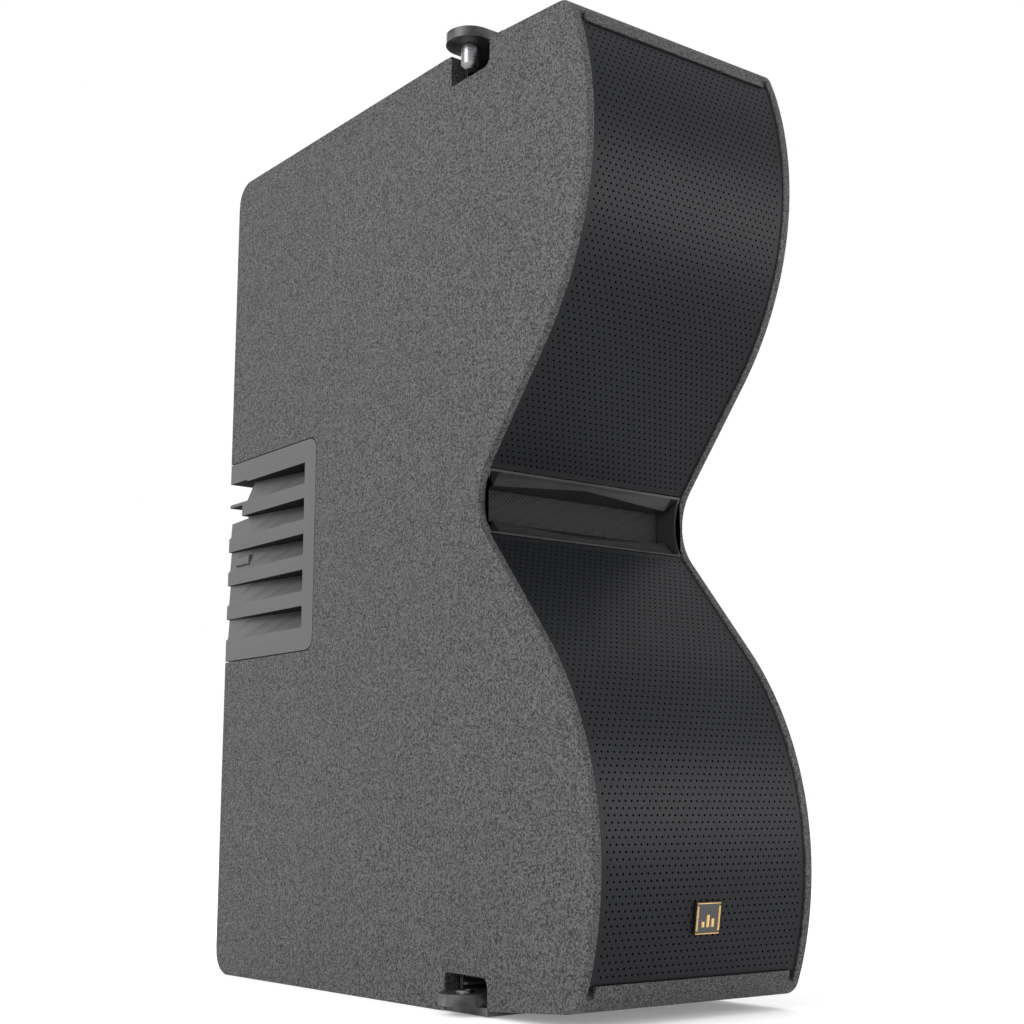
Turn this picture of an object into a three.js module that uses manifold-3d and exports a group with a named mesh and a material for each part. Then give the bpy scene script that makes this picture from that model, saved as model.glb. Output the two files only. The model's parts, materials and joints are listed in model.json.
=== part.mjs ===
// Compact two-way line array speaker, standing on one end.
// Millimetres, +Z up along the long side, -Y toward the audience, +X to the right.
// The model is drawn with y = 0 at the foremost line of the two front bulges and
// z = 0 at the base; the group then moves it so that the origin is under the middle.
import * as THREE from 'three';
import { mergeVertices } from 'three/addons/utils/BufferGeometryUtils.js';
import { ConvexGeometry } from 'three/addons/geometries/ConvexGeometry.js';
import Module from 'manifold-3d';

const wasm = await Module();
wasm.setup();

// ---- driving dimensions -------------------------------------------------------
const LENGTH = 520;
const DEPTH = 367;
const WIDTH = 147;
const PANEL = 9;
const END_WALL = 12;
const GAP = 0.3;

const BULGE_RADIUS = 172;
const BULGE_OFFSET = 184;
const FLANK_ANGLE = THREE.MathUtils.degToRad(39.5);
const WAIST_RADIUS = 33;
const END_RAKE = THREE.MathUtils.degToRad(3.9);
const RAKE_START = 125;
const FRONT_CORNER = 11;
const REAR_CORNER = 14;

const LIP = 4.5;
const RABBET = 6.4;
const GRILLE_INSET = 1;
const GRILLE_STEEL = 1.4;
const FOAM_INSET = 3;
const FOAM = 3;

const HORN_LOW = 242.6;
const HORN_BACK = 118;
const HORN_FLOOR = 102;

const BAFFLE_FRONT = 50;
const BAFFLE = 12;
const BAFFLE_LOW = 18.5;
const WOOFER_HEIGHT = 94;
const WOOFER_HOLE = 62;
const WOOFER_FLAT = 63.9;

const LINK_Y = 100;
const NOTCH_WIDTH = 36;
const NOTCH_DEPTH = 19;
const LINK_RADIUS = 13.5;
const GUIDE_END = -20;
const RECEIVER_END = 36;

const COVER_LOW = 195;
const COVER_FRONT = 258;
const COVER_THICK = 22;
const SLOT_PITCH = 22.2;
const SLOT_HEIGHT = 13;
const SLOT_DEPTH = 18;

const ARM_Z = 287;
const ARM_THICK = 8;
const ARM_PIVOT = [14, 359];
const ARM_LENGTH = 50;

const MIDDLE = LENGTH / 2;

// ---- helpers ------------------------------------------------------------------
const group = new THREE.Group();
group.position.y = -DEPTH / 2;

const FINISH = {
  sprayCoat: { color: 0x545454, roughness: 0.85, metalness: 0 },
  grilleSteel: { color: 0x2b2d31, roughness: 0.55, metalness: 0.4 },
  foam: { color: 0x101012, roughness: 1, metalness: 0 },
  hornPlastic: { color: 0x2c2c2e, roughness: 0.4, metalness: 0 },
  coverPlastic: { color: 0x6e6e6e, roughness: 0.55, metalness: 0 },
  blackSteel: { color: 0x1c1c1e, roughness: 0.4, metalness: 0.8 },
  castAlloy: { color: 0x3a3a3c, roughness: 0.5, metalness: 0.7 },
  ferrite: { color: 0x262628, roughness: 0.7, metalness: 0.2 },
  plywood: { color: 0xb08a58, roughness: 0.8, metalness: 0 },
  paper: { color: 0x1d1d1f, roughness: 0.9, metalness: 0 },
  rubber: { color: 0x141414, roughness: 0.8, metalness: 0 },
  gold: { color: 0xb8964f, roughness: 0.35, metalness: 0.9 },
  copper: { color: 0xb06a3a, roughness: 0.4, metalness: 0.8 },
  circuitGreen: { color: 0x1f5a34, roughness: 0.6, metalness: 0 },
};

function solid(geometry) {
  const bare = geometry.clone();
  bare.deleteAttribute('normal');
  bare.deleteAttribute('uv');
  const merged = mergeVertices(bare, 1e-4);
  return new wasm.Manifold(new wasm.Mesh({
    numProp: 3,
    vertProperties: new Float32Array(merged.attributes.position.array),
    triVerts: new Uint32Array(merged.index.array),
  }));
}

function add(name, shape, finish) {
  const mesh = shape.getMesh();
  const geometry = new THREE.BufferGeometry();
  geometry.setAttribute('position', new THREE.BufferAttribute(mesh.vertProperties, 3));
  geometry.setIndex(new THREE.BufferAttribute(mesh.triVerts, 1));
  geometry.computeVertexNormals();
  const part = new THREE.Mesh(geometry, new THREE.MeshStandardMaterial(FINISH[finish]));
  part.name = name;
  group.add(part);
}

function box(low, high) {
  const size = high.map((value, axis) => value - low[axis]);
  const geometry = new THREE.BoxGeometry(...size);
  geometry.translate(low[0] + size[0] / 2, low[1] + size[1] / 2, low[2] + size[2] / 2);
  return solid(geometry);
}

function shapeOf(points) {
  return new THREE.Shape(points.map(([u, v]) => new THREE.Vector2(u, v)));
}

// A side-view outline of [y, z] points, run along X from xa to xb.
function alongX(points, xa, xb) {
  const geometry = new THREE.ExtrudeGeometry(shapeOf(points), { depth: xb - xa, bevelEnabled: false });
  const turn = new THREE.Matrix4().makeBasis(
    new THREE.Vector3(0, 1, 0), new THREE.Vector3(0, 0, 1), new THREE.Vector3(1, 0, 0));
  geometry.applyMatrix4(turn);
  geometry.translate(xa, 0, 0);
  return solid(geometry);
}

// A plan outline of [x, y] points, run along Z from za to zb.
function alongZ(points, za, zb) {
  const geometry = new THREE.ExtrudeGeometry(shapeOf(points), { depth: zb - za, bevelEnabled: false });
  geometry.translate(0, 0, za);
  return solid(geometry);
}

// A profile of [radius, y] points turned about an axis along Y through (x, z).
function turnedY(profile, x, z, segments = 24) {
  const points = profile.map(([r, y]) => new THREE.Vector2(r, y));
  const geometry = new THREE.LatheGeometry(closedProfile(points), segments);
  geometry.translate(x, 0, z);
  return outward(geometry);
}

// A profile of [radius, z] points turned about an upright axis through (x, y).
function turnedZ(profile, x, y, segments = 24) {
  const points = profile.map(([r, z]) => new THREE.Vector2(r, z));
  const geometry = new THREE.LatheGeometry(closedProfile(points), segments);
  geometry.rotateX(Math.PI / 2);
  geometry.translate(x, y, 0);
  return outward(geometry);
}

function closedProfile(points) {
  const first = points[0];
  const last = points[points.length - 1];
  const onAxis = first.x === 0 && last.x === 0;
  return onAxis ? points : [...points, first.clone()];
}

// A turned profile comes out inside out when its points run the other way round.
function outward(geometry) {
  const made = solid(geometry);
  if (made.volume() > 0) return made;
  const index = geometry.index.array;
  for (let i = 0; i < index.length; i += 3) {
    [index[i], index[i + 1]] = [index[i + 1], index[i]];
  }
  return solid(geometry);
}

function hull(corners) {
  return solid(new ConvexGeometry(corners.map((corner) => new THREE.Vector3(...corner))));
}

// The four corners of an upright rectangle facing -Y.
function frame(y, halfWidth, zLow, zHigh) {
  return [[-halfWidth, y, zLow], [halfWidth, y, zLow], [halfWidth, y, zHigh], [-halfWidth, y, zHigh]];
}

// Everything between the side walls when they are wall millimetres thick.
function between(wall) {
  const half = WIDTH / 2 - wall - GAP;
  return box([-half, -5, -5], [half, DEPTH + 10, LENGTH + 5]);
}

function joined(...shapes) {
  return shapes.reduce((sum, shape) => sum.add(shape));
}

function cut(shape, ...tools) {
  return tools.reduce((rest, tool) => rest.subtract(tool), shape);
}

// The same shape with top and bottom exchanged.
function flipped(shape) {
  return shape.mirror([0, 0, 1]).translate([0, 0, LENGTH]);
}

// Rounds the corners of a polygon of [u, v, radius] points with arcs of a few steps.
function rounded(points, steps = 5) {
  return points.flatMap(([u, v, radius], i) => {
    if (!radius) return [[u, v]];
    const corner = new THREE.Vector2(u, v);
    const before = new THREE.Vector2(...points.at(i - 1)).sub(corner).normalize();
    const after = new THREE.Vector2(...points[(i + 1) % points.length]).sub(corner).normalize();
    const half = Math.acos(before.dot(after)) / 2;
    const centre = before.clone().add(after).normalize().multiplyScalar(radius / Math.sin(half)).add(corner);
    const from = before.clone().multiplyScalar(radius / Math.tan(half)).add(corner).sub(centre);
    const to = after.clone().multiplyScalar(radius / Math.tan(half)).add(corner).sub(centre);
    const sweep = Math.atan2(from.cross(to), from.dot(to));
    return Array.from({ length: steps + 1 }, (_, k) => {
      const turned = from.clone().rotateAround(new THREE.Vector2(0, 0), (sweep * k) / steps).add(centre);
      return [turned.x, turned.y];
    });
  });
}

// ---- the front curve ------------------------------------------------------------
// Two bulges of one radius, straight flanks, and a small-radius waist at mid-height.
// Moving the curve in by inset keeps it parallel: the bulges shrink, the waist grows.
const FLANK_START = [
  BULGE_RADIUS - BULGE_RADIUS * Math.cos(FLANK_ANGLE),
  BULGE_OFFSET - BULGE_RADIUS * Math.sin(FLANK_ANGLE),
];
const WAIST_EDGE = WAIST_RADIUS * Math.sin(FLANK_ANGLE);
const WAIST_CENTRE = FLANK_START[0] + (FLANK_START[1] - WAIST_EDGE) * Math.tan(FLANK_ANGLE)
  - WAIST_RADIUS * Math.cos(FLANK_ANGLE);

function frontDepth(z, inset) {
  const away = Math.abs(z - MIDDLE);
  const bulge = BULGE_RADIUS - inset;
  const waist = WAIST_RADIUS + inset;
  const flankHigh = [BULGE_RADIUS - bulge * Math.cos(FLANK_ANGLE), BULGE_OFFSET - bulge * Math.sin(FLANK_ANGLE)];
  if (away <= waist * Math.sin(FLANK_ANGLE)) return WAIST_CENTRE + Math.sqrt(waist ** 2 - away ** 2);
  if (away < flankHigh[1]) return flankHigh[0] + (flankHigh[1] - away) * Math.tan(FLANK_ANGLE);
  return BULGE_RADIUS - Math.sqrt(bulge ** 2 - (away - BULGE_OFFSET) ** 2);
}

// [y, z] points of the front curve between two heights, close together where it turns.
function frontRun(inset, zFrom, zTo) {
  const aways = [];
  const waist = WAIST_RADIUS + inset;
  const bulge = BULGE_RADIUS - inset;
  for (let k = 0; k <= 3; k += 1) aways.push(waist * Math.sin((FLANK_ANGLE * k) / 3));
  for (let k = -5; k <= 10; k += 1) aways.push(BULGE_OFFSET - bulge * Math.sin((FLANK_ANGLE * k) / 10));
  const heights = [...aways.map((away) => MIDDLE - away), ...aways.slice(1).map((away) => MIDDLE + away)];
  const inside = heights.filter((z) => z > zFrom + 0.5 && z < zTo - 0.5).sort((a, b) => a - b);
  return [zFrom, ...inside, zTo].map((z) => [frontDepth(z, inset), z]);
}

function rakeRise(y) {
  return Math.max(0, RAKE_START - y) * Math.tan(END_RAKE);
}

// The whole side view of the cabinet.
function sideOutline() {
  let z = 8;
  for (let k = 0; k < 20; k += 1) z = rakeRise(frontDepth(z, 0));
  const y = frontDepth(z, 0);
  const clear = FRONT_CORNER + 3;
  return rounded([
    [DEPTH, LENGTH, REAR_CORNER],
    [RAKE_START, LENGTH, 0],
    [y, LENGTH - z, FRONT_CORNER],
    ...frontRun(0, z + clear, LENGTH - z - clear).reverse(),
    [y, z, FRONT_CORNER],
    [RAKE_START, 0, 0],
    [DEPTH, 0, REAR_CORNER],
  ]);
}

const OUTLINE = sideOutline();
const BETWEEN_PANELS = between(PANEL);
const BETWEEN_LIPS = between(LIP);
const GRILLE_EDGE = END_WALL + 8.4;

// ---- cabinet boards ---------------------------------------------------------------
function notch(xa, xb) {
  const low = LINK_Y - NOTCH_WIDTH / 2;
  const high = LINK_Y + NOTCH_WIDTH / 2;
  const shape = alongX(rounded([[low, -6, 0], [high, -6, 0], [high, NOTCH_DEPTH, 0], [low, NOTCH_DEPTH, 5]], 3), xa, xb);
  return joined(shape, flipped(shape));
}

function coverOutline(gap) {
  const top = LENGTH - COVER_LOW;
  return rounded([
    [DEPTH + 5, COVER_LOW - gap, 0],
    [DEPTH + 5, top + gap, 0],
    [COVER_FRONT - gap, top + gap, 7.5],
    [COVER_FRONT - gap, COVER_LOW - gap, 7.5],
  ], 4);
}

function sidePanel(side) {
  const outer = (side * WIDTH) / 2;
  const inner = outer - side * PANEL;
  const lip = outer - side * LIP;
  const [xa, xb] = [Math.min(outer, inner), Math.max(outer, inner)];
  const [ra, rb] = [Math.min(lip, inner - side), Math.max(lip, inner - side)];
  const band = [
    ...frontRun(RABBET, GRILLE_EDGE - GAP, LENGTH - GRILLE_EDGE + GAP),
    [-5, LENGTH - GRILLE_EDGE + GAP],
    [-5, GRILLE_EDGE - GAP],
  ];
  return cut(
    alongX(OUTLINE, xa, xb),
    alongX(band, ra, rb),
    notch(xa - 5, xb + 5),
    alongX(coverOutline(0.6), xa - 1, xb + 1));
}

function endPanelBottom() {
  const strip = [
    [-5, -5],
    [DEPTH + 5, -5],
    [DEPTH + 5, END_WALL],
    [RAKE_START, END_WALL],
    [frontDepth(GRILLE_EDGE, 0) + 10, GRILLE_EDGE - GAP],
    [-5, GRILLE_EDGE - GAP],
  ];
  const side = NOTCH_WIDTH / 2;
  const pocket = joined(
    box([-90, LINK_Y - side, -5], [GUIDE_END + GAP, LINK_Y + side, 40]),
    box([RECEIVER_END - GAP, LINK_Y - side, -5], [90, LINK_Y + side, 40]));
  return cut(alongX(OUTLINE, -90, 90).intersect(alongX(strip, -90, 90)), pocket).intersect(BETWEEN_PANELS);
}

add('side_panel_left', sidePanel(-1), 'sprayCoat');
add('side_panel_right', sidePanel(1), 'sprayCoat');
const endBottom = endPanelBottom();
add('end_panel_bottom', endBottom, 'sprayCoat');
add('end_panel_top', flipped(endBottom), 'sprayCoat');

// ---- rear panels with the connector plate in the lower one --------------------------
const REAR_INSIDE = DEPTH - PANEL;
const PLATE = { half: 29, low: 70, high: 150, thick: 3 };
const SOCKETS = { input: 128, link: 92 };
const SCREW_AT = [[-24, 76], [24, 76], [24, 144], [-24, 144]];

function rearPanel() {
  const board = box([-80, REAR_INSIDE, END_WALL + 2.3], [80, DEPTH - 0.1, COVER_LOW - GAP]);
  return board.intersect(BETWEEN_PANELS);
}

function upright(radius, x, z, yFrom, yTo, segments = 20) {
  return turnedY([[0, yFrom], [radius, yFrom], [radius, yTo], [0, yTo]], x, z, segments);
}

const plateRecess = box(
  [-PLATE.half - GAP, DEPTH - PLATE.thick - 2 * GAP, PLATE.low - GAP],
  [PLATE.half + GAP, DEPTH + 1, PLATE.high + GAP]);
const socketHoles = Object.values(SOCKETS).map((z) => upright(12.4, 0, z, REAR_INSIDE - 2, DEPTH + 2));
const screwHoles = SCREW_AT.map(([x, z]) => upright(2.9, x, z, REAR_INSIDE - 2, DEPTH + 2, 12));

add('rear_panel_lower', cut(rearPanel(), plateRecess, ...socketHoles, ...screwHoles), 'sprayCoat');
add('rear_panel_upper', flipped(rearPanel()), 'sprayCoat');
add('connector_plate', cut(
  box([-PLATE.half, DEPTH - PLATE.thick - GAP, PLATE.low], [PLATE.half, DEPTH - GAP, PLATE.high]),
  ...socketHoles, ...screwHoles), 'blackSteel');

Object.entries(SOCKETS).forEach(([name, z]) => {
  const profile = [[0, 338], [12, 338], [12, DEPTH - GAP], [9.5, DEPTH - GAP], [9.5, 348], [0, 348]];
  add(`socket_${name}`, turnedY(profile, 0, z, 24), 'hornPlastic');
});

SCREW_AT.forEach(([x, z], i) => {
  const profile = [[0, REAR_INSIDE - 6], [1.6, REAR_INSIDE - 6], [1.6, DEPTH - 2], [2.6, DEPTH - 0.6], [0, DEPTH - 0.6]];
  add(`connector_screw_${i + 1}`, turnedY(profile, x, z, 12), 'blackSteel');
});

// ---- baffles, braces, grilles, foam --------------------------------------------------
function baffle() {
  const tilt = FLANK_ANGLE;
  const top = HORN_LOW - 0.4;
  const bend = 178;
  const front = BAFFLE_FRONT + (top - bend) * Math.tan(tilt);
  const across = BAFFLE / Math.cos(tilt);
  const backBend = top - (front + across - BAFFLE_FRONT - BAFFLE) / Math.tan(tilt);
  const section = [
    [BAFFLE_FRONT, BAFFLE_LOW],
    [BAFFLE_FRONT, bend],
    [front, top],
    [front + across, top],
    [BAFFLE_FRONT + BAFFLE, backBend],
    [BAFFLE_FRONT + BAFFLE, BAFFLE_LOW],
  ];
  const hole = upright(WOOFER_HOLE, 0, WOOFER_HEIGHT, 0, 140, 32);
  return cut(alongX(section, -90, 90), hole).intersect(BETWEEN_PANELS);
}

function brace() {
  const plate = box([-90, 84, 183], [90, REAR_INSIDE - GAP, 192]).intersect(BETWEEN_PANELS);
  const window = alongZ(rounded([[-26, 150, 12], [26, 150, 12], [22, 290, 12], [-22, 290, 12]], 3), 170, 200);
  return cut(plate, window);
}

function curvedSheet(inset, thick, zFrom, zTo) {
  const section = [...frontRun(inset, zFrom, zTo), ...frontRun(inset + thick, zFrom, zTo).reverse()];
  return alongX(section, -90, 90).intersect(BETWEEN_LIPS);
}

const lowerPieces = {
  baffle: [baffle(), 'plywood'],
  brace: [brace(), 'plywood'],
  grille: [curvedSheet(GRILLE_INSET, GRILLE_STEEL, GRILLE_EDGE, HORN_LOW - 0.4), 'grilleSteel'],
  grille_foam: [curvedSheet(FOAM_INSET, FOAM, GRILLE_EDGE + 1, HORN_LOW - 1), 'foam'],
};
Object.entries(lowerPieces).forEach(([name, [shape, finish]]) => {
  add(`${name}_lower`, shape, finish);
  add(`${name}_upper`, flipped(shape), finish);
});

// ---- horn: mouth frame, screen, waveguide, compression driver -----------------------
function hornFrame() {
  const top = LENGTH - HORN_LOW;
  const flange = [
    ...frontRun(GRILLE_INSET, HORN_LOW, top),
    ...frontRun(RABBET - 1, HORN_LOW, top).reverse(),
  ];
  const block = [...frontRun(GRILLE_INSET, HORN_LOW, top), [HORN_BACK, top], [HORN_BACK, HORN_LOW]];
  const body = joined(
    alongX(flange, -90, 90).intersect(BETWEEN_LIPS),
    alongX(block, -90, 90).intersect(BETWEEN_PANELS));
  const mouth = hull([...frame(80, 71, 240, 280), ...frame(HORN_FLOOR, 56, 250, 270)]);
  const slot = hull([...frame(HORN_FLOOR - 2, 52, 253, 267), ...frame(HORN_BACK + 2, 52, 253, 267)]);
  return cut(body, mouth, slot);
}

add('horn_frame', hornFrame(), 'hornPlastic');
add('horn_screen', box([-54, HORN_FLOOR - 1.8, 251], [54, HORN_FLOOR - 0.6, 269]), 'blackSteel');

const DRIVER_FACE = 188;
add('waveguide', cut(
  hull([...frame(HORN_BACK + GAP, 57, 246, 274), ...frame(DRIVER_FACE, 25, 235, 285)]),
  hull([...frame(HORN_BACK - 1, 52, 253, 267), ...frame(DRIVER_FACE + 1, 10, 250, 270)])), 'hornPlastic');
add('compression_driver', turnedY([
  [0, 192], [11, DRIVER_FACE + GAP], [30, DRIVER_FACE + GAP], [44, 196], [44, 228], [36, 234], [0, 234],
], 0, MIDDLE, 32), 'ferrite');
add('driver_rear_cap', turnedY([
  [0, 234 + GAP], [24, 234 + GAP], [24, 243], [20, 247], [0, 247],
], 0, MIDDLE, 24), 'hornPlastic');

// ---- woofers ---------------------------------------------------------------------
const RIM = BAFFLE_FRONT - GAP;
const CONE_SEGMENTS = 24;

function woofer(place, z) {
  const flats = box([-WOOFER_FLAT, 0, z - 90], [WOOFER_FLAT, 160, z + 90]);
  const flange = turnedY([[60, RIM - 5], [74.5, RIM - 5], [74.5, RIM], [60, RIM]], 0, z, CONE_SEGMENTS).intersect(flats);
  const shell = turnedY([
    [58, RIM - 5], [61, RIM - 5], [61, RIM + 6], [52, RIM + 60], [20.6, RIM + 60],
    [20.6, RIM + 56], [49, RIM + 56], [58, RIM + 6],
  ], 0, z, CONE_SEGMENTS);
  const windows = [0, 60, 120].map((turn) => box([-80, RIM + 12, -16], [80, RIM + 50, 16])
    .rotate([0, turn, 0]).translate([0, 0, z]));
  add(`woofer_${place}_basket`, joined(flange, cut(shell, ...windows)), 'castAlloy');
  add(`woofer_${place}_magnet`, turnedY([
    [20.6, RIM + 60.3], [46, RIM + 60.3], [46, RIM + 86], [0, RIM + 86], [0, RIM + 46],
    [15.8, RIM + 46], [15.8, RIM + 80], [20.6, RIM + 80],
  ], 0, z), 'ferrite');
  add(`woofer_${place}_surround`, turnedY([
    [52.4, RIM - 6.6], [54.5, RIM - 6.6], [58.5, RIM - 11], [62.4, RIM - 6.6],
    [64, RIM - 6.6], [64, RIM - 5.3], [61.6, RIM - 5.3], [58.5, RIM - 9.6], [55.4, RIM - 5.3], [52.4, RIM - 5.3],
  ], 0, z, CONE_SEGMENTS), 'rubber');
  add(`woofer_${place}_spider`, turnedY([
    [19.2, RIM + 38], [50.2, RIM + 38], [50.2, RIM + 39.2], [19.2, RIM + 39.2],
  ], 0, z), 'paper');
  add(`woofer_${place}_cone`, turnedY([
    [52, RIM - 6.6], [52, RIM - 5], [18.9, RIM + 24], [18.9, RIM + 70], [17.4, RIM + 70], [17.4, RIM + 22.6],
  ], 0, z, CONE_SEGMENTS), 'paper');
  add(`woofer_${place}_dust_cap`, turnedY([
    [0, RIM + 10], [9, RIM + 11.2], [16, RIM + 14.4], [21, RIM + 18.6], [20, RIM + 19.2], [15.4, RIM + 15.6],
    [8.6, RIM + 12.4], [0, RIM + 11.2],
  ], 0, z), 'paper');
}
woofer('lower', WOOFER_HEIGHT);
woofer('upper', LENGTH - WOOFER_HEIGHT);

// ---- crossover on the upper rear panel ----------------------------------------------
add('crossover_board', box([-30, REAR_INSIDE - 2.3, 370], [30, REAR_INSIDE - GAP, 470]), 'circuitGreen');
add('crossover_coil', turnedY([
  [7, 336], [19, 336], [19, REAR_INSIDE - 2.6], [7, REAR_INSIDE - 2.6],
], 0, 446), 'copper');
add('crossover_capacitor', turnedZ([[0, 380], [10, 380], [10, 416], [0, 416]], 0, 345), 'hornPlastic');

// ---- louvred side covers with their press buttons -----------------------------------
// Each slot is a wedge: flush along its lower edge, deepest at its front upper corner.
const BUTTON = { front: 343, back: 359, low: 256.5, high: 262.5, thick: 5, travel: 2.5 };

function sideCover(side) {
  const outer = WIDTH / 2;
  const depthTo = (deep) => side * (outer - deep);
  const inner = outer - COVER_THICK;
  const [xa, xb] = [Math.min(side * outer, side * inner), Math.max(side * outer, side * inner)];
  const plate = alongX(coverOutline(0), xa, xb).intersect(box([-90, 0, 0], [90, DEPTH, LENGTH]));
  const front = COVER_FRONT + 13;
  const back = DEPTH + 3;
  const slots = [-2, -1, 0, 1, 2].flatMap((k) => {
    const low = MIDDLE + k * SLOT_PITCH - SLOT_HEIGHT / 2;
    const high = low + SLOT_HEIGHT;
    const station = (t) => {
      const y = front + (back - front) * t;
      const deep = SLOT_DEPTH + (1.6 - SLOT_DEPTH) * t;
      return [[depthTo(-1), y, low], [depthTo(-1), y, high], [depthTo(0.8), y, low], [depthTo(deep), y, high]];
    };
    return [0, 1, 2, 3].map((step) => hull([...station(step / 4), ...station((step + 1) / 4)]));
  });
  const rearCuts = [
    box([-90, 345, 298.6], [90, DEPTH + 1, 312]),
    box([-90, 350.5, ARM_Z - 1], [90, DEPTH + 1, ARM_Z + ARM_THICK + 1]),
  ];
  const window = box(
    [Math.min(depthTo(-1), depthTo(12)), BUTTON.front - 0.5, BUTTON.low - 0.5],
    [Math.max(depthTo(-1), depthTo(12)), BUTTON.back + 0.5, BUTTON.high + 0.5]);
  return cut(plate, ...slots, ...rearCuts, window);
}

function coverButton(side) {
  const outer = WIDTH / 2 - 0.8;
  const inner = outer - BUTTON.thick;
  const [xa, xb] = [Math.min(side * outer, side * inner), Math.max(side * outer, side * inner)];
  return box([xa, BUTTON.front, BUTTON.low], [xb, BUTTON.back, BUTTON.high]);
}

add('side_cover_left', sideCover(-1), 'coverPlastic');
add('side_cover_right', sideCover(1), 'coverPlastic');
add('cover_button_left', coverButton(-1), 'coverPlastic');
add('cover_button_right', coverButton(1), 'coverPlastic');

// ---- rear spine with its hand recess and the swinging link arm -------------------------
function circle(radius, x, y, za, zb, segments = 24) {
  return turnedZ([[0, za], [radius, za], [radius, zb], [0, zb]], x, y, segments);
}

const spineBlock = box([-80, 330, COVER_LOW], [80, DEPTH, LENGTH - COVER_LOW]).intersect(between(COVER_THICK));
add('rear_spine', cut(
  spineBlock,
  box([-18, 342, 203], [18, DEPTH + 1, 277]),
  box([-60, 350.5, ARM_Z - 1], [60, DEPTH + 1, ARM_Z + ARM_THICK + 1]),
  circle(2.9, ...ARM_PIVOT, 281, 302, 12)), 'coverPlastic');

const [PIVOT_X, PIVOT_Y] = ARM_PIVOT;
add('rear_arm', cut(
  joined(
    circle(6.5, ...ARM_PIVOT, ARM_Z, ARM_Z + ARM_THICK),
    box([PIVOT_X - ARM_LENGTH, PIVOT_Y - 6.5, ARM_Z], [PIVOT_X, PIVOT_Y + 6.5, ARM_Z + ARM_THICK]),
    circle(6.5, PIVOT_X - ARM_LENGTH, PIVOT_Y, ARM_Z, ARM_Z + ARM_THICK)),
  circle(2.9, ...ARM_PIVOT, 270, 310, 12),
  circle(3, PIVOT_X - ARM_LENGTH, PIVOT_Y, 270, 310, 12)), 'blackSteel');
add('rear_arm_pin', circle(2.6, ...ARM_PIVOT, 281.4, 301.6, 12), 'blackSteel');

// ---- link plates, their guide boxes and the receivers opposite -----------------------
const PANEL_X = -WIDTH / 2;
const INNER_X = PANEL_X + PANEL + GAP;
const GUIDE_HALF = NOTCH_WIDTH / 2 - GAP;
const GUIDE_WALL = 2.5;
const FOOT = { from: -50, to: -38, half: 14.6 };

// An open steel channel with an end wall and two rails that hold the link's foot.
function guideBox(floorLow, floorHigh, wallTop, railLow, railHigh) {
  const side = (sign) => {
    const edge = LINK_Y + sign * GUIDE_HALF;
    const span = (reach) => [Math.min(edge, edge - sign * reach), Math.max(edge, edge - sign * reach)];
    const [wallA, wallB] = span(GUIDE_WALL);
    const [railA, railB] = span(GUIDE_WALL + 3.5);
    return joined(
      box([INNER_X, wallA, floorLow], [GUIDE_END, wallB, wallTop]),
      box([INNER_X, railA, railLow], [GUIDE_END, railB, railHigh]));
  };
  return joined(
    box([INNER_X, LINK_Y - GUIDE_HALF, floorLow], [GUIDE_END, LINK_Y + GUIDE_HALF, floorHigh]),
    box([GUIDE_END - GUIDE_WALL, LINK_Y - GUIDE_HALF, floorLow], [GUIDE_END, LINK_Y + GUIDE_HALF, wallTop]),
    side(-1), side(1));
}

function linkPlate(zLow, zHigh, shoulder, footLow, footHigh, railLow, railHigh) {
  const half = LINK_RADIUS;
  const foot = box([FOOT.from, LINK_Y - FOOT.half, footLow], [FOOT.to, LINK_Y + FOOT.half, footHigh]);
  const grooves = [-1, 1].map((sign) => {
    const inner = LINK_Y + sign * 11.1;
    const outer = LINK_Y + sign * 20;
    return box([-70, Math.min(inner, outer), railLow - 0.4], [0, Math.max(inner, outer), railHigh + 0.4]);
  });
  return joined(
    circle(LINK_RADIUS, PANEL_X, LINK_Y, zLow, zHigh, 40),
    box([PANEL_X, LINK_Y - half, zLow], [-36, LINK_Y + half, zHigh]),
    box([INNER_X, LINK_Y - shoulder, zLow], [-36, LINK_Y + shoulder, zHigh]),
    cut(foot, ...grooves));
}

const TOP_LINK = LENGTH - 1.4;
add('guide_box_top', guideBox(LENGTH - NOTCH_DEPTH + GAP, 503.8, 516.8, 511, 513), 'blackSteel');
add('link_top', cut(
  linkPlate(TOP_LINK, TOP_LINK + 5.8, NOTCH_WIDTH / 2 - 2 * GAP, 504.5, TOP_LINK + 1, 511, 513),
  circle(3.8, PANEL_X, LINK_Y, 515, 530, 16)), 'blackSteel');
add('link_pin_top', turnedZ([
  [0, 504.6], [2.6, 504.6], [5, 507], [5, TOP_LINK - GAP], [3.4, TOP_LINK - GAP], [3.4, TOP_LINK + 5.4], [0, TOP_LINK + 5.4],
], PANEL_X, LINK_Y), 'blackSteel');

const BOTTOM_LINK = 4.9;
const guideRoof = box([INNER_X, LINK_Y - GUIDE_HALF, 16.8], [GUIDE_END, LINK_Y + GUIDE_HALF, NOTCH_DEPTH - GAP]);
const guideSole = box([PANEL_X + 0.4, LINK_Y - GUIDE_HALF, 0.3], [INNER_X + 1, LINK_Y + GUIDE_HALF, 4.5]);
add('guide_box_bottom', joined(guideBox(0.3, 4.5, 18, 12.6, 14), guideRoof, guideSole), 'blackSteel');
add('link_bottom', cut(
  linkPlate(BOTTOM_LINK, 10.6, LINK_RADIUS, 10, 16.2, 12.6, 14),
  circle(5.1, PANEL_X, LINK_Y, 0, 20, 20)), 'blackSteel');
add('link_bushing_bottom', turnedZ([
  [2.6, BOTTOM_LINK + 0.1], [4.8, BOTTOM_LINK + 0.1], [4.8, 11.2], [4.2, 11.8], [2.6, 11.8],
], PANEL_X, LINK_Y), 'castAlloy');

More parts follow.
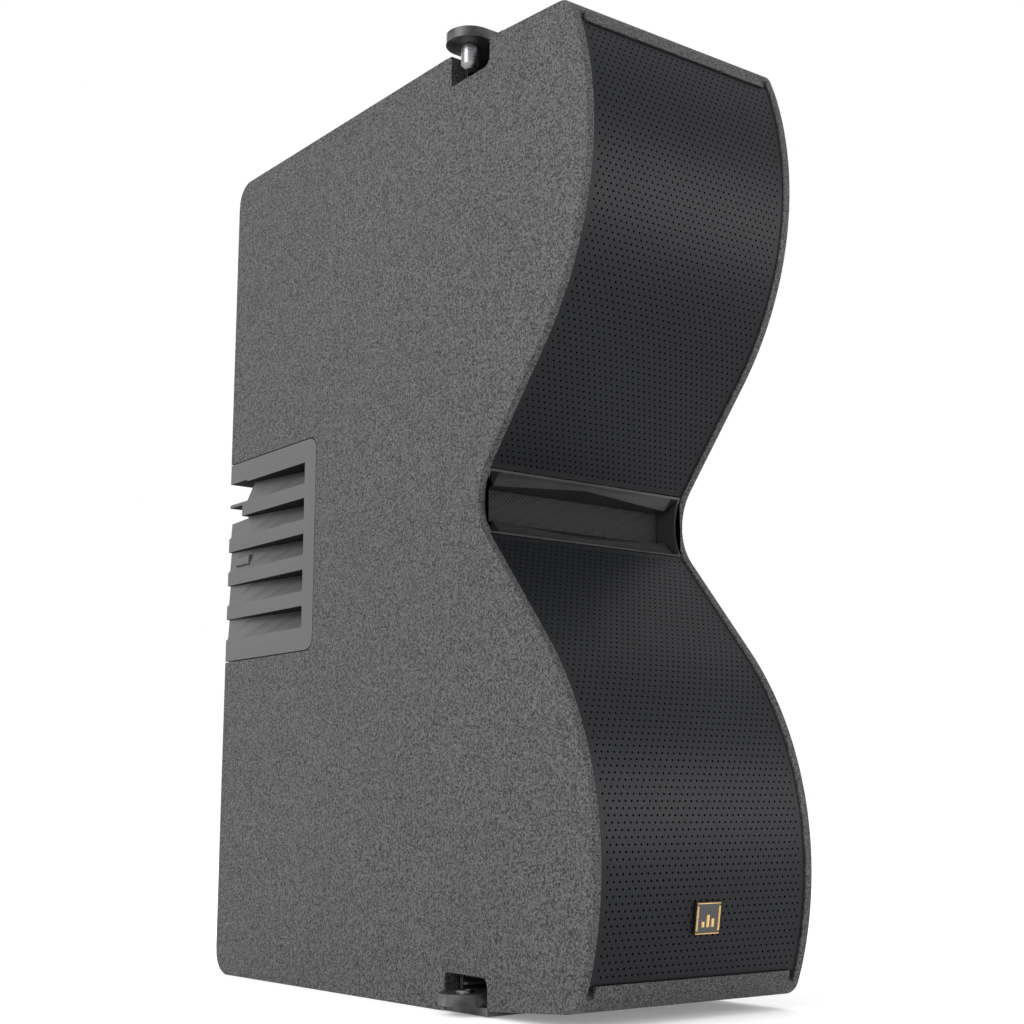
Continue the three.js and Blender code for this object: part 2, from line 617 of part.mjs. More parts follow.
function receiverBox() {
  const outer = -INNER_X;
  return cut(
    box([RECEIVER_END, LINK_Y - GUIDE_HALF, 0.3], [outer, LINK_Y + GUIDE_HALF, NOTCH_DEPTH - GAP]),
    box([RECEIVER_END + GUIDE_WALL, LINK_Y - GUIDE_HALF + GUIDE_WALL, -1],
      [outer + 1, LINK_Y + GUIDE_HALF - GUIDE_WALL, NOTCH_DEPTH - GAP - GUIDE_WALL]));
}
add('receiver_box_bottom', receiverBox(), 'blackSteel');
add('receiver_box_top', flipped(receiverBox()), 'blackSteel');

// ---- badge plate on the lower grille ------------------------------------------------
const BADGE = { size: 16, thick: 2, z: 49 };
function badge() {
  const half = BADGE.size / 2;
  const tilt = Math.asin((BULGE_OFFSET - (MIDDLE - BADGE.z)) / (BULGE_RADIUS - GRILLE_INSET));
  const plate = hull([
    ...frame(-BADGE.thick, half - 1.4, -half + 1.4, half - 1.4),
    ...frame(-0.6, half, -half, half),
    ...frame(-0.1, half, -half, half),
  ]);
  return plate.rotate([THREE.MathUtils.radToDeg(-tilt), 0, 0])
    .translate([0, frontDepth(BADGE.z, GRILLE_INSET) - GAP, BADGE.z]);
}
add('badge', badge(), 'gold');

export default group;
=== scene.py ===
"""Looks of a compact line array speaker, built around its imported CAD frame.

Every size is in metres in the frame's own axes: +Z up along the long side, -Y the
grille front, +X to the right. New pieces are surfaces worked out with numpy.
"""
import json
import math

import bmesh
import bpy
import numpy as np
from mathutils import Matrix, Vector

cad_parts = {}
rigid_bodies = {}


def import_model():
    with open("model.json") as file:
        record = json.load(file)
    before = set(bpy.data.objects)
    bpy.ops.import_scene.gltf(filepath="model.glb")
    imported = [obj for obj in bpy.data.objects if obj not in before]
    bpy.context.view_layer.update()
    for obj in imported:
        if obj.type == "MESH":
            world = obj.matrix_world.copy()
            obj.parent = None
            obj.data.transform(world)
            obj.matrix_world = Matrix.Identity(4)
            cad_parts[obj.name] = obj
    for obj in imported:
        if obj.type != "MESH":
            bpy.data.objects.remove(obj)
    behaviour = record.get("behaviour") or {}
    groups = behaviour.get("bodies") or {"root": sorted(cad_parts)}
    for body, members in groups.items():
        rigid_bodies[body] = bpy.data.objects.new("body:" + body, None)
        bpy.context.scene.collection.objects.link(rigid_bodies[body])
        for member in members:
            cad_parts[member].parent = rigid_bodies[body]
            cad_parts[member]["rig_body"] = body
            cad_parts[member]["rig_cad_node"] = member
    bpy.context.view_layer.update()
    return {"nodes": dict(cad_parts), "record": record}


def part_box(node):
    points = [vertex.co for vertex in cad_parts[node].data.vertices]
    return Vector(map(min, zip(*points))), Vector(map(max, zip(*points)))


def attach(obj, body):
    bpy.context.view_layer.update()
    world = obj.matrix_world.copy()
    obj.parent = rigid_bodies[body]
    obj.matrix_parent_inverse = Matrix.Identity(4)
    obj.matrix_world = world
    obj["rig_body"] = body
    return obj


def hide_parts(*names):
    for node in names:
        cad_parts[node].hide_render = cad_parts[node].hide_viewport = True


bl_info = {
    "name": "Line Array Speaker",
    "version": (1, 0, 0),
    "blender": (4, 5, 0),
    "location": "3D View > Sidebar > Speaker",
    "description": "Builds the visible pieces of a compact line array speaker",
    "category": "Add Mesh",
}

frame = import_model()

# ---- sizes, in metres, read from the frame where it has them ---------------------
MM = 0.001
PANEL_LOW, PANEL_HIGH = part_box("side_panel_left")
LENGTH = PANEL_HIGH.z
DEPTH = PANEL_HIGH.y - PANEL_LOW.y
FRONT_Y = PANEL_LOW.y
HALF_WIDTH = -PANEL_LOW.x
MIDDLE = LENGTH / 2
PANEL = 9 * MM
LIP = 4.5 * MM
RABBET = 6.4 * MM
END_WALL = 12 * MM
GAP = 0.3 * MM

BULGE_RADIUS = 172 * MM
BULGE_OFFSET = 184 * MM
FLANK_ANGLE = math.radians(39.5)
WAIST_RADIUS = 33 * MM
END_RAKE = math.tan(math.radians(3.9))
RAKE_START = 125 * MM
FRONT_CORNER = 11 * MM
REAR_CORNER = 14 * MM

GRILLE_INSET = 1.0 * MM
GRILLE_STEEL = 1.4 * MM
GRILLE_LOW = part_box("grille_lower")[0].z
GRILLE_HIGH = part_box("grille_lower")[1].z
GRILLE_MARGIN = 2.2 * MM
FOAM_INSET = 3 * MM
FOAM_THICK = 3 * MM

HORN_BACK = 118 * MM
HORN_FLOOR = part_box("horn_screen")[1].y - FRONT_Y

NOTCH_FRONT = 82 * MM
NOTCH_REAR = 118 * MM
NOTCH_DEPTH = 19 * MM
POCKET_LEFT = -19.7 * MM
POCKET_RIGHT = 35.7 * MM

BADGE_HEIGHT = 49 * MM

COVER_LOW, COVER_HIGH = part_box("side_cover_left")
COVER_GAP = 0.6 * MM
COVER_FRONT = COVER_LOW.y - FRONT_Y


# ---- the cabinet's curves --------------------------------------------------------
def front_depth(z, inset=0.0):
    """Depth of the front curve behind its foremost line, at height z, moved in by inset.

    Each bulge is a circle, the flanks are the straight lines that leave it at the
    flank angle, and the waist is a circle the flanks run into.
    """
    away = np.abs(np.asarray(z, float) - MIDDLE)
    sine, cosine, slope = math.sin(FLANK_ANGLE), math.cos(FLANK_ANGLE), math.tan(FLANK_ANGLE)
    start = BULGE_RADIUS * (1 - cosine)
    waist_edge = WAIST_RADIUS * sine
    centre = start + (BULGE_OFFSET - BULGE_RADIUS * sine - waist_edge) * slope - WAIST_RADIUS * cosine
    bulge, waist = BULGE_RADIUS - inset, WAIST_RADIUS + inset
    flank_at = BULGE_OFFSET - bulge * sine
    in_waist = centre + np.sqrt(np.maximum(waist**2 - away**2, 0))
    on_flank = BULGE_RADIUS - bulge * cosine + (flank_at - away) * slope
    on_bulge = BULGE_RADIUS - np.sqrt(np.maximum(bulge**2 - (away - BULGE_OFFSET) ** 2, 0))
    return np.where(away <= waist * sine, in_waist, np.where(away < flank_at, on_flank, on_bulge))


def front_run(inset, low, high, step=2.4 * MM):
    """[depth, z] points of the front curve between two heights, evenly spaced in z."""
    z = np.linspace(low, high, max(2, int((high - low) / step)))
    return [[float(d), float(h)] for d, h in zip(front_depth(z, inset), z)]


def rise(depth):
    """How far an end face has sloped in at this depth."""
    return max(0.0, RAKE_START - depth) * END_RAKE


def nose():
    """The corner where the sloped end face would meet the front curve."""
    z = 8 * MM
    for _ in range(20):
        z = rise(float(front_depth(z)))
    return float(front_depth(z)), z


def rounded(corners, steps=10):
    """Replaces each [u, v, radius] corner by an arc tangent to its two sides."""
    points = []
    count = len(corners)
    for i, corner in enumerate(corners):
        if len(corner) < 3 or not corner[2]:
            points.append(list(corner[:2]))
            continue
        at = Vector(corner[:2])
        before = (Vector(corners[i - 1][:2]) - at).normalized()
        after = (Vector(corners[(i + 1) % count][:2]) - at).normalized()
        half = before.angle(after) / 2
        centre = at + (before + after).normalized() * (corner[2] / math.sin(half))
        first = at + before * (corner[2] / math.tan(half)) - centre
        last = at + after * (corner[2] / math.tan(half)) - centre
        sweep = math.atan2(first.x * last.y - first.y * last.x, first.dot(last))
        for k in range(steps + 1):
            point = Matrix.Rotation(sweep * k / steps, 2) @ first + centre
            points.append([point.x, point.y])
    return points


def flipped(points):
    """The same side-view outline with top and bottom exchanged."""
    return [[p[0], LENGTH - p[1], *p[2:]] for p in reversed(points)]


def lower_nose():
    """The bottom front corner, its arc running from the end face into the bulge."""
    depth, z = nose()
    above = z + FRONT_CORNER + 3 * MM
    arc = rounded([[RAKE_START, 0], [depth, z, FRONT_CORNER], [float(front_depth(above)), above]])
    return arc[1:-1], above


def wall_x(side, inward):
    """X of a plane parallel to a side wall and inward of its outer face."""
    return side * (HALF_WIDTH - inward)


# ---- making and dressing pieces --------------------------------------------------
def new_piece(name, points, faces, finishes, body="cabinet", node=None, choice=None):
    """A mesh object with its place in its mesh, riding on a body and dressed."""
    mesh = bpy.data.meshes.new(name)
    mesh.from_pydata([tuple(p) for p in points], [], [tuple(f) for f in faces])
    piece = bpy.data.objects.new(name, mesh)
    bpy.context.scene.collection.objects.link(piece)
    return dress(piece, finishes, body, node, choice)


def dress(piece, finishes, body, node, choice=None):
    """Gives a piece its finishes and its body, and hides the node it stands for."""
    piece.data.materials.clear()
    for finish in finishes:
        piece.data.materials.append(finish)
    if choice is not None:
        piece.data.polygons.foreach_set("material_index", np.asarray(choice, np.int32))
    piece.data.update()
    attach(piece, body)
    if node:
        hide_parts(*([node] if isinstance(node, str) else node))
    return piece


def shade(piece, degrees=30):
    """Smooth shading with edges sharper than the angle kept crisp."""
    mesh = piece.data
    mesh.polygons.foreach_set("use_smooth", np.ones(len(mesh.polygons), bool))
    mesh.set_sharp_from_angle(angle=math.radians(degrees))
    mesh.update()


def round_edges(piece, width, segments=3, by_weight=False):
    """A bevel on sharp edges, or on weighted ones, with smooth shading across it."""
    bevel = piece.modifiers.new("round_edges", "BEVEL")
    bevel.width = width
    bevel.segments = segments
    bevel.limit_method = "WEIGHT" if by_weight else "ANGLE"
    bevel.angle_limit = math.radians(35)
    bevel.harden_normals = True
    bevel.use_clamp_overlap = True


def outward(mesh, join=0.0):
    """Turns every face of a closed mesh outward, once points nearer than join are joined."""
    work = bmesh.new()
    work.from_mesh(mesh)
    if join:
        bmesh.ops.remove_doubles(work, verts=work.verts, dist=join)
    bmesh.ops.recalc_face_normals(work, faces=work.faces)
    work.to_mesh(mesh)
    work.free()


def softened(node, finishes, width=0.5 * MM, segments=3, tell=None):
    """A merged copy of a CAD node with its hard edges rounded by a small radius."""
    source = frame["nodes"][node]
    piece = source.copy()
    piece.data = source.data.copy()
    piece.name = node + "_finished"
    piece.parent = None
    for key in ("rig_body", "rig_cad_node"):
        if key in piece:
            del piece[key]
    bpy.context.scene.collection.objects.link(piece)
    work = bmesh.new()
    work.from_mesh(piece.data)
    bmesh.ops.remove_doubles(work, verts=work.verts, dist=2e-6)
    bmesh.ops.dissolve_limit(work, angle_limit=math.radians(0.6), verts=work.verts, edges=work.edges)
    work.to_mesh(piece.data)
    work.free()
    choice = [tell(face.center, face.normal) for face in piece.data.polygons] if tell else None
    shade(piece, 28)
    dress(piece, finishes, source["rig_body"], node, choice)
    round_edges(piece, width, segments)


def slot_of(node):
    """The material slot that the record gives a node."""
    return next(p["material_slot"] for p in frame["record"]["subparts"] if p["node"] == node)


def prism(outlines):
    """Closed side-view outlines, each carried along X; outlines holds (points, x_from, x_to)."""
    points, faces = [], []
    for outline, x_from, x_to in outlines:
        depth, z = np.array([p[:2] for p in outline]).T
        count, base = len(outline), len(points)
        for x in (x_from, x_to):
            points += np.column_stack([x + 0 * z, depth + FRONT_Y, z]).tolist()
        ring = np.arange(count)
        step = np.roll(ring, -1)
        sides = np.column_stack([ring, step, step + count, ring + count]) + base
        faces += [list(base + ring[::-1]), list(base + count + ring)] + sides.tolist()
    return points, faces


def grid_faces(rows, columns, wrap=False):
    """Quads of a grid of rows by columns points; wrap joins the last column to the first."""
    steps = columns if wrap else columns - 1
    row, column = np.meshgrid(np.arange(rows - 1) * columns, np.arange(steps), indexing="ij")
    beside = (column + 1) % columns
    quads = np.stack([row + column, row + beside, row + columns + beside, row + columns + column], -1)
    return quads.reshape(-1, 4).tolist()


def turned(name, profile, centre, axis, finishes, body, node, segments=64):
    """A [radius, along] profile turned about an axis along Y or Z through centre.

    Each profile point makes one circle, and a zero radius closes the shape there.
    """
    profile = np.array(profile, float)
    angle = np.linspace(0, 2 * math.pi, segments, endpoint=False)
    radius, along = profile[:, 0:1], np.repeat(profile[:, 1:2], segments, axis=1)
    across, upward = radius * np.cos(angle), radius * np.sin(angle)
    if axis == "Z":
        points = np.stack([across + centre[0], upward + centre[1], along], -1)
    else:
        points = np.stack([across + centre[0], along, upward + centre[2]], -1)
    faces = grid_faces(len(profile), segments, wrap=True)
    piece = new_piece(name, points.reshape(-1, 3), faces, finishes, body, node)
    outward(piece.data, 1e-6)
    shade(piece, 35)
    return piece


def open_edges(faces):
    """Directed edges of a face array that no neighbour runs the other way."""
    edges = np.vstack([np.column_stack([faces[:, i], faces[:, (i + 1) % 4]]) for i in range(4)])
    edges = edges[edges[:, 0] != edges[:, 1]]
    big = int(edges.max()) + 1
    code = edges[:, 0] * big + edges[:, 1]
    back = edges[:, 1] * big + edges[:, 0]
    return edges[~np.isin(code, back)]


def between_grids(face, back, rows, columns):
    """Points and faces of the closed body between two grids of rows by columns points."""
    count = rows * columns
    front = np.array(grid_faces(rows, columns))
    rim = open_edges(front)
    closing = np.column_stack([rim[:, 1], rim[:, 0], rim[:, 0] + count, rim[:, 1] + count])
    return np.vstack([face, back]), np.vstack([front, front[:, ::-1] + count, closing]).tolist()


# ---- finishes --------------------------------------------------------------------
class Wire:
    """One output socket of a shader; arithmetic on it adds Math nodes."""

    def __init__(self, tree, socket):
        self.tree = tree
        self.socket = socket

    def math(self, operation, first, second=0.0, clamp=False):
        node = self.tree.nodes.new("ShaderNodeMath")
        node.operation = operation
        node.use_clamp = clamp
        plug(self.tree, node.inputs[0], first)
        plug(self.tree, node.inputs[1], second)
        return Wire(self.tree, node.outputs[0])

    def __add__(self, other):
        return self.math("ADD", self, other)

    def __radd__(self, other):
        return self.math("ADD", other, self)

    def __sub__(self, other):
        return self.math("SUBTRACT", self, other)

    def __rsub__(self, other):
        return self.math("SUBTRACT", other, self)

    def __mul__(self, other):
        return self.math("MULTIPLY", self, other)

    def __rmul__(self, other):
        return self.math("MULTIPLY", other, self)

    def __gt__(self, other):
        return self.math("GREATER_THAN", self, other)

    def clamped(self):
        return self.math("ADD", self, 0.0, clamp=True)


def plug(tree, socket, value):
    """Links a wire to a socket, or sets the socket to a plain value."""
    if isinstance(value, Wire):
        tree.links.new(value.socket, socket)
    else:
        socket.default_value = value


class Finish:
    """A material with one Principled shader and short ways to add its nodes."""

    def __init__(self, name, colour, roughness, metallic=0.0, **sockets):
        self.material = bpy.data.materials.new(name)
        self.material.use_nodes = True
        self.tree = self.material.node_tree
        self.shader = self.tree.nodes["Principled BSDF"]
        self.colour = colour
        self.set("Base Color", opaque(colour))
        self.set("Roughness", roughness)
        self.set("Metallic", metallic)
        for socket, value in sockets.items():
            self.set(socket.replace("_", " "), value)
        self.place = self.node("ShaderNodeTexCoord", {}, {}, "Object")

    def set(self, socket, value):
        plug(self.tree, self.shader.inputs[socket], value)

    def node(self, kind, settings, inputs, output=0):
        node = self.tree.nodes.new(kind)
        for key, value in settings.items():
            setattr(node, key, value)
        for key, value in inputs.items():
            plug(self.tree, node.inputs[key], value)
        return Wire(self.tree, node.outputs[output])

    def noise(self, scale, detail=2.0, roughness=0.5, where=None):
        place = where or self.place
        inputs = {"Vector": place, "Scale": scale, "Detail": detail, "Roughness": roughness}
        return self.node("ShaderNodeTexNoise", {}, inputs, "Fac")

    def cells(self, scale, feature="F1"):
        inputs = {"Vector": self.place, "Scale": scale}
        return self.node("ShaderNodeTexVoronoi", {"feature": feature}, inputs, "Distance")

    def stretched(self, *scale):
        """The object's coordinates scaled by three factors, for grain with a direction."""
        return self.node("ShaderNodeMapping", {}, {"Vector": self.place, "Scale": scale})

    def spread(self, value, low, high, to_low=0.0, to_high=1.0):
        inputs = {"Value": value, "From Min": low, "From Max": high, "To Min": to_low, "To Max": to_high}
        return self.node("ShaderNodeMapRange", {"clamp": True}, inputs, "Result")

    def blend(self, factor, first, second):
        """Between two colours; the Mix node's sockets for colours are numbers 6, 7 and 2."""
        first, second = (c if isinstance(c, Wire) else opaque(c) for c in (first, second))
        return self.node("ShaderNodeMix", {"data_type": "RGBA"}, {0: factor, 6: first, 7: second}, 2)

    def tinted(self, factor):
        """The finish's own colour, darker or lighter."""
        return tuple(min(1.0, c * factor) for c in self.colour)

    def mottle(self, grain, first, second, low=0.3, high=0.7):
        """Base colour running between two colours as the grain runs from low to high."""
        self.set("Base Color", self.blend(self.spread(grain, low, high), first, second))

    def gloss(self, grain, first, second, low=0.3, high=0.7):
        """Roughness running between two values as the grain runs from low to high."""
        self.set("Roughness", self.spread(grain, low, high, first, second))

    def bump(self, height, strength, distance):
        inputs = {"Height": height, "Strength": strength, "Distance": distance}
        self.set("Normal", self.node("ShaderNodeBump", {}, inputs, "Normal"))

    def edges(self):
        """Nearly 1 along raised edges, from how much the surface bends outward."""
        pointiness = self.node("ShaderNodeNewGeometry", {}, {}, "Pointiness")
        return self.spread(pointiness, 0.51, 0.58)


def opaque(colour):
    """A colour with full opacity, as sockets take it."""
    return (*colour[:3], 1.0)


def chosen():
    """The colours set in the panel."""
    return bpy.context.scene.speaker_colours


def spray_coat():
    """Textured spray coat: small pebbles, with painted shade between them and painted light on their
    tops.
    """
    made = Finish("spray_coat", chosen().coat, 0.7, Specular_IOR_Level=0.35)
    pebble = made.noise(1150, 1.0, 0.5)
    fleck = made.noise(560, 1.0)
    broad = made.noise(9)
    # painted shade and light: the pebble noise, which also makes the bump, darkens the coat where low and
    # lightens it where high; the fleck noise is random tone
    grain = made.spread(pebble * 0.75 + fleck * 0.25, 0.38, 0.62)
    colour = made.blend(grain, made.tinted(0.25), made.tinted(2.3))
    patchy = made.spread(broad, 0.3, 0.7, 0.0, 0.1)
    made.set("Base Color", made.blend(patchy, colour, made.tinted(0.4)))
    made.gloss(pebble, 0.8, 0.6)
    made.bump(pebble, 0.7, 0.5 * MM)
    return made.material


def grille_steel():
    """Powder-coated steel: dense fine orange peel over a broad faint mottle."""
    made = Finish("grille_steel", chosen().grille, 0.42, Specular_IOR_Level=0.15)
    peel = made.noise(1500)
    made.mottle(made.noise(14), made.tinted(0.86), made.tinted(1.14))
    made.gloss(peel, 0.36, 0.5)
    made.bump(peel, 0.35, 0.08 * MM)
    return made.material


def painted_shade_horn():
    """Painted shade on the end walls of the horn mouth: a darker and rougher moulded plastic."""
    made = Finish("painted_shade_horn", (0.0035, 0.0035, 0.0037), 0.55, Specular_IOR_Level=0.15)
    grain = made.noise(1700)
    made.set("Base Color", made.blend(grain, (0.0035, 0.0035, 0.0036), (0.006, 0.006, 0.0062)))
    made.bump(grain, 0.2, 0.05 * MM)
    return made.material


def foam_black():
    """Open-cell foam: black, porous and without any gloss."""
    made = Finish("foam_black", (0.0035, 0.0035, 0.004), 1.0, Specular_IOR_Level=0.1)
    pores = made.cells(900)
    made.mottle(pores, (0.001, 0.001, 0.001), (0.006, 0.006, 0.007), 0.1, 0.6)
    made.bump(pores, 0.9, 0.6 * MM)
    return made.material


def horn_satin(factor=1.0, roughness=0.34):
    """Satin moulded plastic with a faint flow grain and soft handling marks."""
    # a factor above 1 makes the lighter copy that paints the highlight on the mouth's rim
    made = Finish("horn_satin", tuple(c * factor for c in chosen().horn), roughness)
    haze = made.noise(36, 3.0)
    made.mottle(haze, made.colour, made.tinted(1.25), 0.35, 0.7)
    made.gloss(haze, roughness - 0.05, roughness + 0.12, 0.3, 0.75)
    made.bump(made.noise(1700), 0.2, 0.05 * MM)
    return made.material


def painted_highlight_rim():
    """The same plastic on the outer edge of the mouth: lighter, as a painted highlight, and glossier."""
    return horn_satin(3.4, 0.3)


def cover_grain(factor=1.0):
    """Grey moulded plastic with a fine spark-eroded grain."""
    # a factor above 1 makes the lighter copy that paints light on the louvre blades
    colour = tuple(c * factor for c in chosen().cover)
    made = Finish("cover_grain", colour, 0.5, Specular_IOR_Level=0.45)
    grain = made.noise(1300, 3.0, 0.6)
    haze = made.noise(20)
    mixed = made.blend(made.spread(grain, 0.35, 0.65), made.tinted(0.93), made.tinted(1.07))
    hazy = made.spread(haze, 0.35, 0.7) * 0.3
    made.set("Base Color", made.blend(hazy, mixed, made.tinted(0.85)))
    made.gloss(grain, 0.44, 0.6)
    made.bump(grain, 0.35, 0.08 * MM)
    return made.material


def painted_light_blade():
    """The covers' plastic, a little lighter: painted light on the sloping blades, which face upward."""
    return cover_grain(1.15)


def painted_shade_slot():
    """Painted shade on the inside of the louvre slots: near black on the ceilings and front ends behind
    the blades.
    """
    made = Finish("painted_shade_slot", (0.004, 0.004, 0.004), 0.95, Specular_IOR_Level=0.1)
    slot_noise = made.noise(1400, 3.0)
    made.set("Base Color", made.blend(slot_noise, (0.002, 0.002, 0.002), (0.008, 0.008, 0.008)))
    made.bump(slot_noise, 0.5, 0.2 * MM)
    return made.material


def black_steel():
    """Black plated steel: satin, with brighter metal where edges rub."""
    made = Finish("black_steel", (0.016, 0.016, 0.017), 0.36, 0.35)
    smear = made.noise(60, 3.0)
    worn = (made.edges() * made.spread(smear, 0.4, 0.6)).clamped()
    base = made.blend(made.spread(smear, 0.3, 0.7), made.colour, made.tinted(1.8))
    made.set("Base Color", made.blend(worn * 0.6, base, (0.16, 0.16, 0.165)))
    made.gloss(smear, 0.3, 0.5)
    made.bump(made.noise(900, 3.0), 0.2, 0.05 * MM)
    return made.material


def bright_steel():
    """Turned steel, lightly brushed around, used for pins and bushings."""
    made = Finish("bright_steel", (0.2, 0.2, 0.21), 0.32, 1.0)
    rings = made.noise(40, where=made.stretched(1, 1, 60))
    made.mottle(rings, (0.14, 0.14, 0.145), (0.27, 0.27, 0.28))
    made.gloss(rings, 0.25, 0.42)
    made.bump(rings, 0.15, 0.05 * MM)
    return made.material


def sandy(name, colour, metallic, grain, tints, roughness, bump):
    """A dark casting or ceramic with a sandy skin."""
    made = Finish(name, colour, roughness[0], metallic)
    sand = made.noise(*grain)
    made.mottle(sand, made.tinted(tints[0]), made.tinted(tints[1]))
    made.gloss(sand, *roughness)
    made.bump(sand, *bump)
    return made.material


def cast_alloy():
    """Dark painted casting."""
    colour = (0.05, 0.05, 0.054)
    return sandy("cast_alloy", colour, 0.6, (700, 3.0), (0.8, 1.3), (0.42, 0.62), (0.5, 0.15 * MM))


def ferrite():
    """Matt black magnet ring and plates."""
    colour = (0.02, 0.02, 0.022)
    return sandy("ferrite", colour, 0.2, (420, 4.0), (0.7, 1.5), (0.5, 0.75), (0.4, 0.1 * MM))


def cone_paper():
    """Pressed paper cone, matt black with visible fibres."""
    colour = (0.014, 0.014, 0.015)
    return sandy("cone_paper", colour, 0.0, (500, 5.0, 0.7), (0.6, 1.8), (0.74, 0.9), (0.5, 0.12 * MM))


def birch_ply():
    """Sealed birch plywood with long grain along the height."""
    made = Finish("birch_ply", (0.45, 0.29, 0.14), 0.55)
    grain = made.noise(60, 5.0, 0.6, made.stretched(6, 6, 0.4))
    made.mottle(grain, (0.34, 0.2, 0.09), (0.55, 0.37, 0.19))
    made.gloss(grain, 0.48, 0.65)
    made.bump(grain, 0.2, 0.1 * MM)
    return made.material


def surround_rubber():
    """Soft black rubber with a dusty bloom."""
    made = Finish("surround_rubber", (0.01, 0.01, 0.01), 0.68)
    bloom = made.noise(90, 3.0)
    made.mottle(bloom, made.colour, made.tinted(2.0), 0.35, 0.7)
    made.gloss(bloom, 0.6, 0.78)
    made.bump(made.noise(1100), 0.2, 0.05 * MM)
    return made.material


def badge_gold():
    """Brushed gold-coloured metal."""
    made = Finish("badge_gold", chosen().gold, 0.3, 1.0)
    brush = made.noise(160, 3.0, 0.6, made.stretched(1, 1, 26))
    made.mottle(brush, made.tinted(0.75), made.tinted(1.2))
    made.gloss(brush, 0.24, 0.4)
    made.bump(brush, 0.15, 0.04 * MM)
    return made.material


def badge_black():
    """Gloss black enamel of the badge field."""
    made = Finish("badge_black", (0.006, 0.006, 0.006), 0.2, Coat_Weight=0.4)
    haze = made.noise(160)
    made.gloss(haze, 0.16, 0.3)
    made.bump(haze, 0.1, 0.04 * MM)
    return made.material


def copper_wire():
    """Enamelled copper winding, its turns lying side by side."""
    made = Finish("copper_wire", (0.45, 0.16, 0.06), 0.3, 1.0)
    rings = {"wave_type": "RINGS", "rings_direction": "Y"}
    inputs = {"Vector": made.place, "Scale": 160.0, "Distortion": 0.4}
    turns = made.node("ShaderNodeTexWave", rings, inputs, "Fac")
    made.set("Base Color", made.blend(turns, (0.28, 0.09, 0.03), (0.6, 0.24, 0.1)))
    made.bump(turns, 0.6, 0.3 * MM)
    return made.material


def circuit_green():
    """Lacquered circuit board with faint copper tracks under the lacquer."""
    made = Finish("circuit_green", (0.015, 0.08, 0.03), 0.35, Coat_Weight=0.3)
    tracks = made.cells(120, "DISTANCE_TO_EDGE") > 0.06
    made.set("Base Color", made.blend(tracks, (0.05, 0.17, 0.06), (0.012, 0.07, 0.026)))
    made.bump(tracks, 0.3, 0.05 * MM)
    return made.material


def screen_weave():
    """Fine woven steel mesh: dark openings between satin wires, on the diagonal."""
    made = Finish("screen_weave", (0.03, 0.03, 0.032), 0.6, 0.3, Specular_IOR_Level=0.2)
    diagonal = {"Vector": made.place, "Rotation": (0.0, math.radians(45), 0.0)}
    inputs = {"Vector": made.node("ShaderNodeMapping", {}, diagonal), "Scale": 420.0}
    across, along = (
        made.node("ShaderNodeTexWave", {"bands_direction": way}, inputs, "Fac") for way in ("X", "Z")
    )
    cover = across.math("MAXIMUM", across, along)
    made.set("Base Color", made.blend(cover, (0.003, 0.003, 0.0033), (0.02, 0.02, 0.021)))
    made.gloss(cover, 0.7, 0.4, 0.2, 0.9)
    made.bump(cover, 0.5, 0.12 * MM)
    return made.material


FINISH_MAKERS = {
    "spray_coat": spray_coat,
    "grille_steel": grille_steel,
    "grille_foam": foam_black,
    "horn_plastic": horn_satin,
    "painted_highlight_rim": painted_highlight_rim,
    "cover_plastic": cover_grain,
    "painted_light_blade": painted_light_blade,
    "painted_shade_slot": painted_shade_slot,
    "painted_shade_horn": painted_shade_horn,
    "screen_weave": screen_weave,
    "black_steel": black_steel,
    "bright_steel": bright_steel,
    "cast_alloy": cast_alloy,
    "ferrite": ferrite,
    "plywood": birch_ply,
    "cone_paper": cone_paper,
    "surround_rubber": surround_rubber,
    "badge_gold": badge_gold,
    "badge_black": badge_black,
    "copper_wire": copper_wire,
    "circuit_board": circuit_green,
}


def finish(name):
    """The named finish, made the first time it is asked for."""
    found = bpy.data.materials.get("finish_" + name)
    if found is None:
        found = FINISH_MAKERS[name]()
        found.name = "finish_" + name
    return found


# ---- cabinet ---------------------------------------------------------------------
def panel_outline():
    """The side panel's whole outline as [depth, z, weight], with its notches and cut-out.

    weight says how strongly the outer edge is rounded there: 1 on the outside of the
    cabinet, less around the notches and the cover's cut-out.
    """
    depth, z = nose()
    _, above = lower_nose()
    low, top = COVER_LOW.z - COVER_GAP, COVER_HIGH.z + COVER_GAP
    front = COVER_FRONT - COVER_GAP
    foot = rounded([[DEPTH, low], [DEPTH, 0, REAR_CORNER], [RAKE_START, 0]])[1:]
    notch = rounded([
        [NOTCH_REAR, rise(NOTCH_REAR)], [NOTCH_REAR, NOTCH_DEPTH],
        [NOTCH_FRONT, NOTCH_DEPTH, 5 * MM], [NOTCH_FRONT, rise(NOTCH_FRONT)],
    ], 6)
    corner = rounded([
        [NOTCH_FRONT, rise(NOTCH_FRONT)], [depth, z, FRONT_CORNER], [float(front_depth(above)), above],
    ])[1:-1]
    lower = [[*p, 1.0] for p in foot] + [[*p, 0.3] for p in notch] + [[*p, 1.0] for p in corner]
    middle = [[*p, 1.0] for p in front_run(0.0, above, LENGTH - above)]
    window = rounded([[DEPTH, top], [front, top, 8 * MM], [front, low, 8 * MM], [DEPTH, low]], 8)
    return lower + middle + flipped(lower) + [[*p, 0.2] for p in window]


def inner_outline():
    """The panel outline with its front edge set back, so that the grille has a seat."""
    points = panel_outline()
    low, high = GRILLE_LOW - GAP, LENGTH - GRILLE_LOW + GAP
    kept = [p for p in points if not (low < p[1] < high and p[0] < HORN_BACK)]
    start = next(i for i, p in enumerate(kept) if p[1] > MIDDLE)
    seat = front_run(RABBET, low, high)
    return kept[:start] + [[*p, 0.0] for p in seat] + kept[start:]


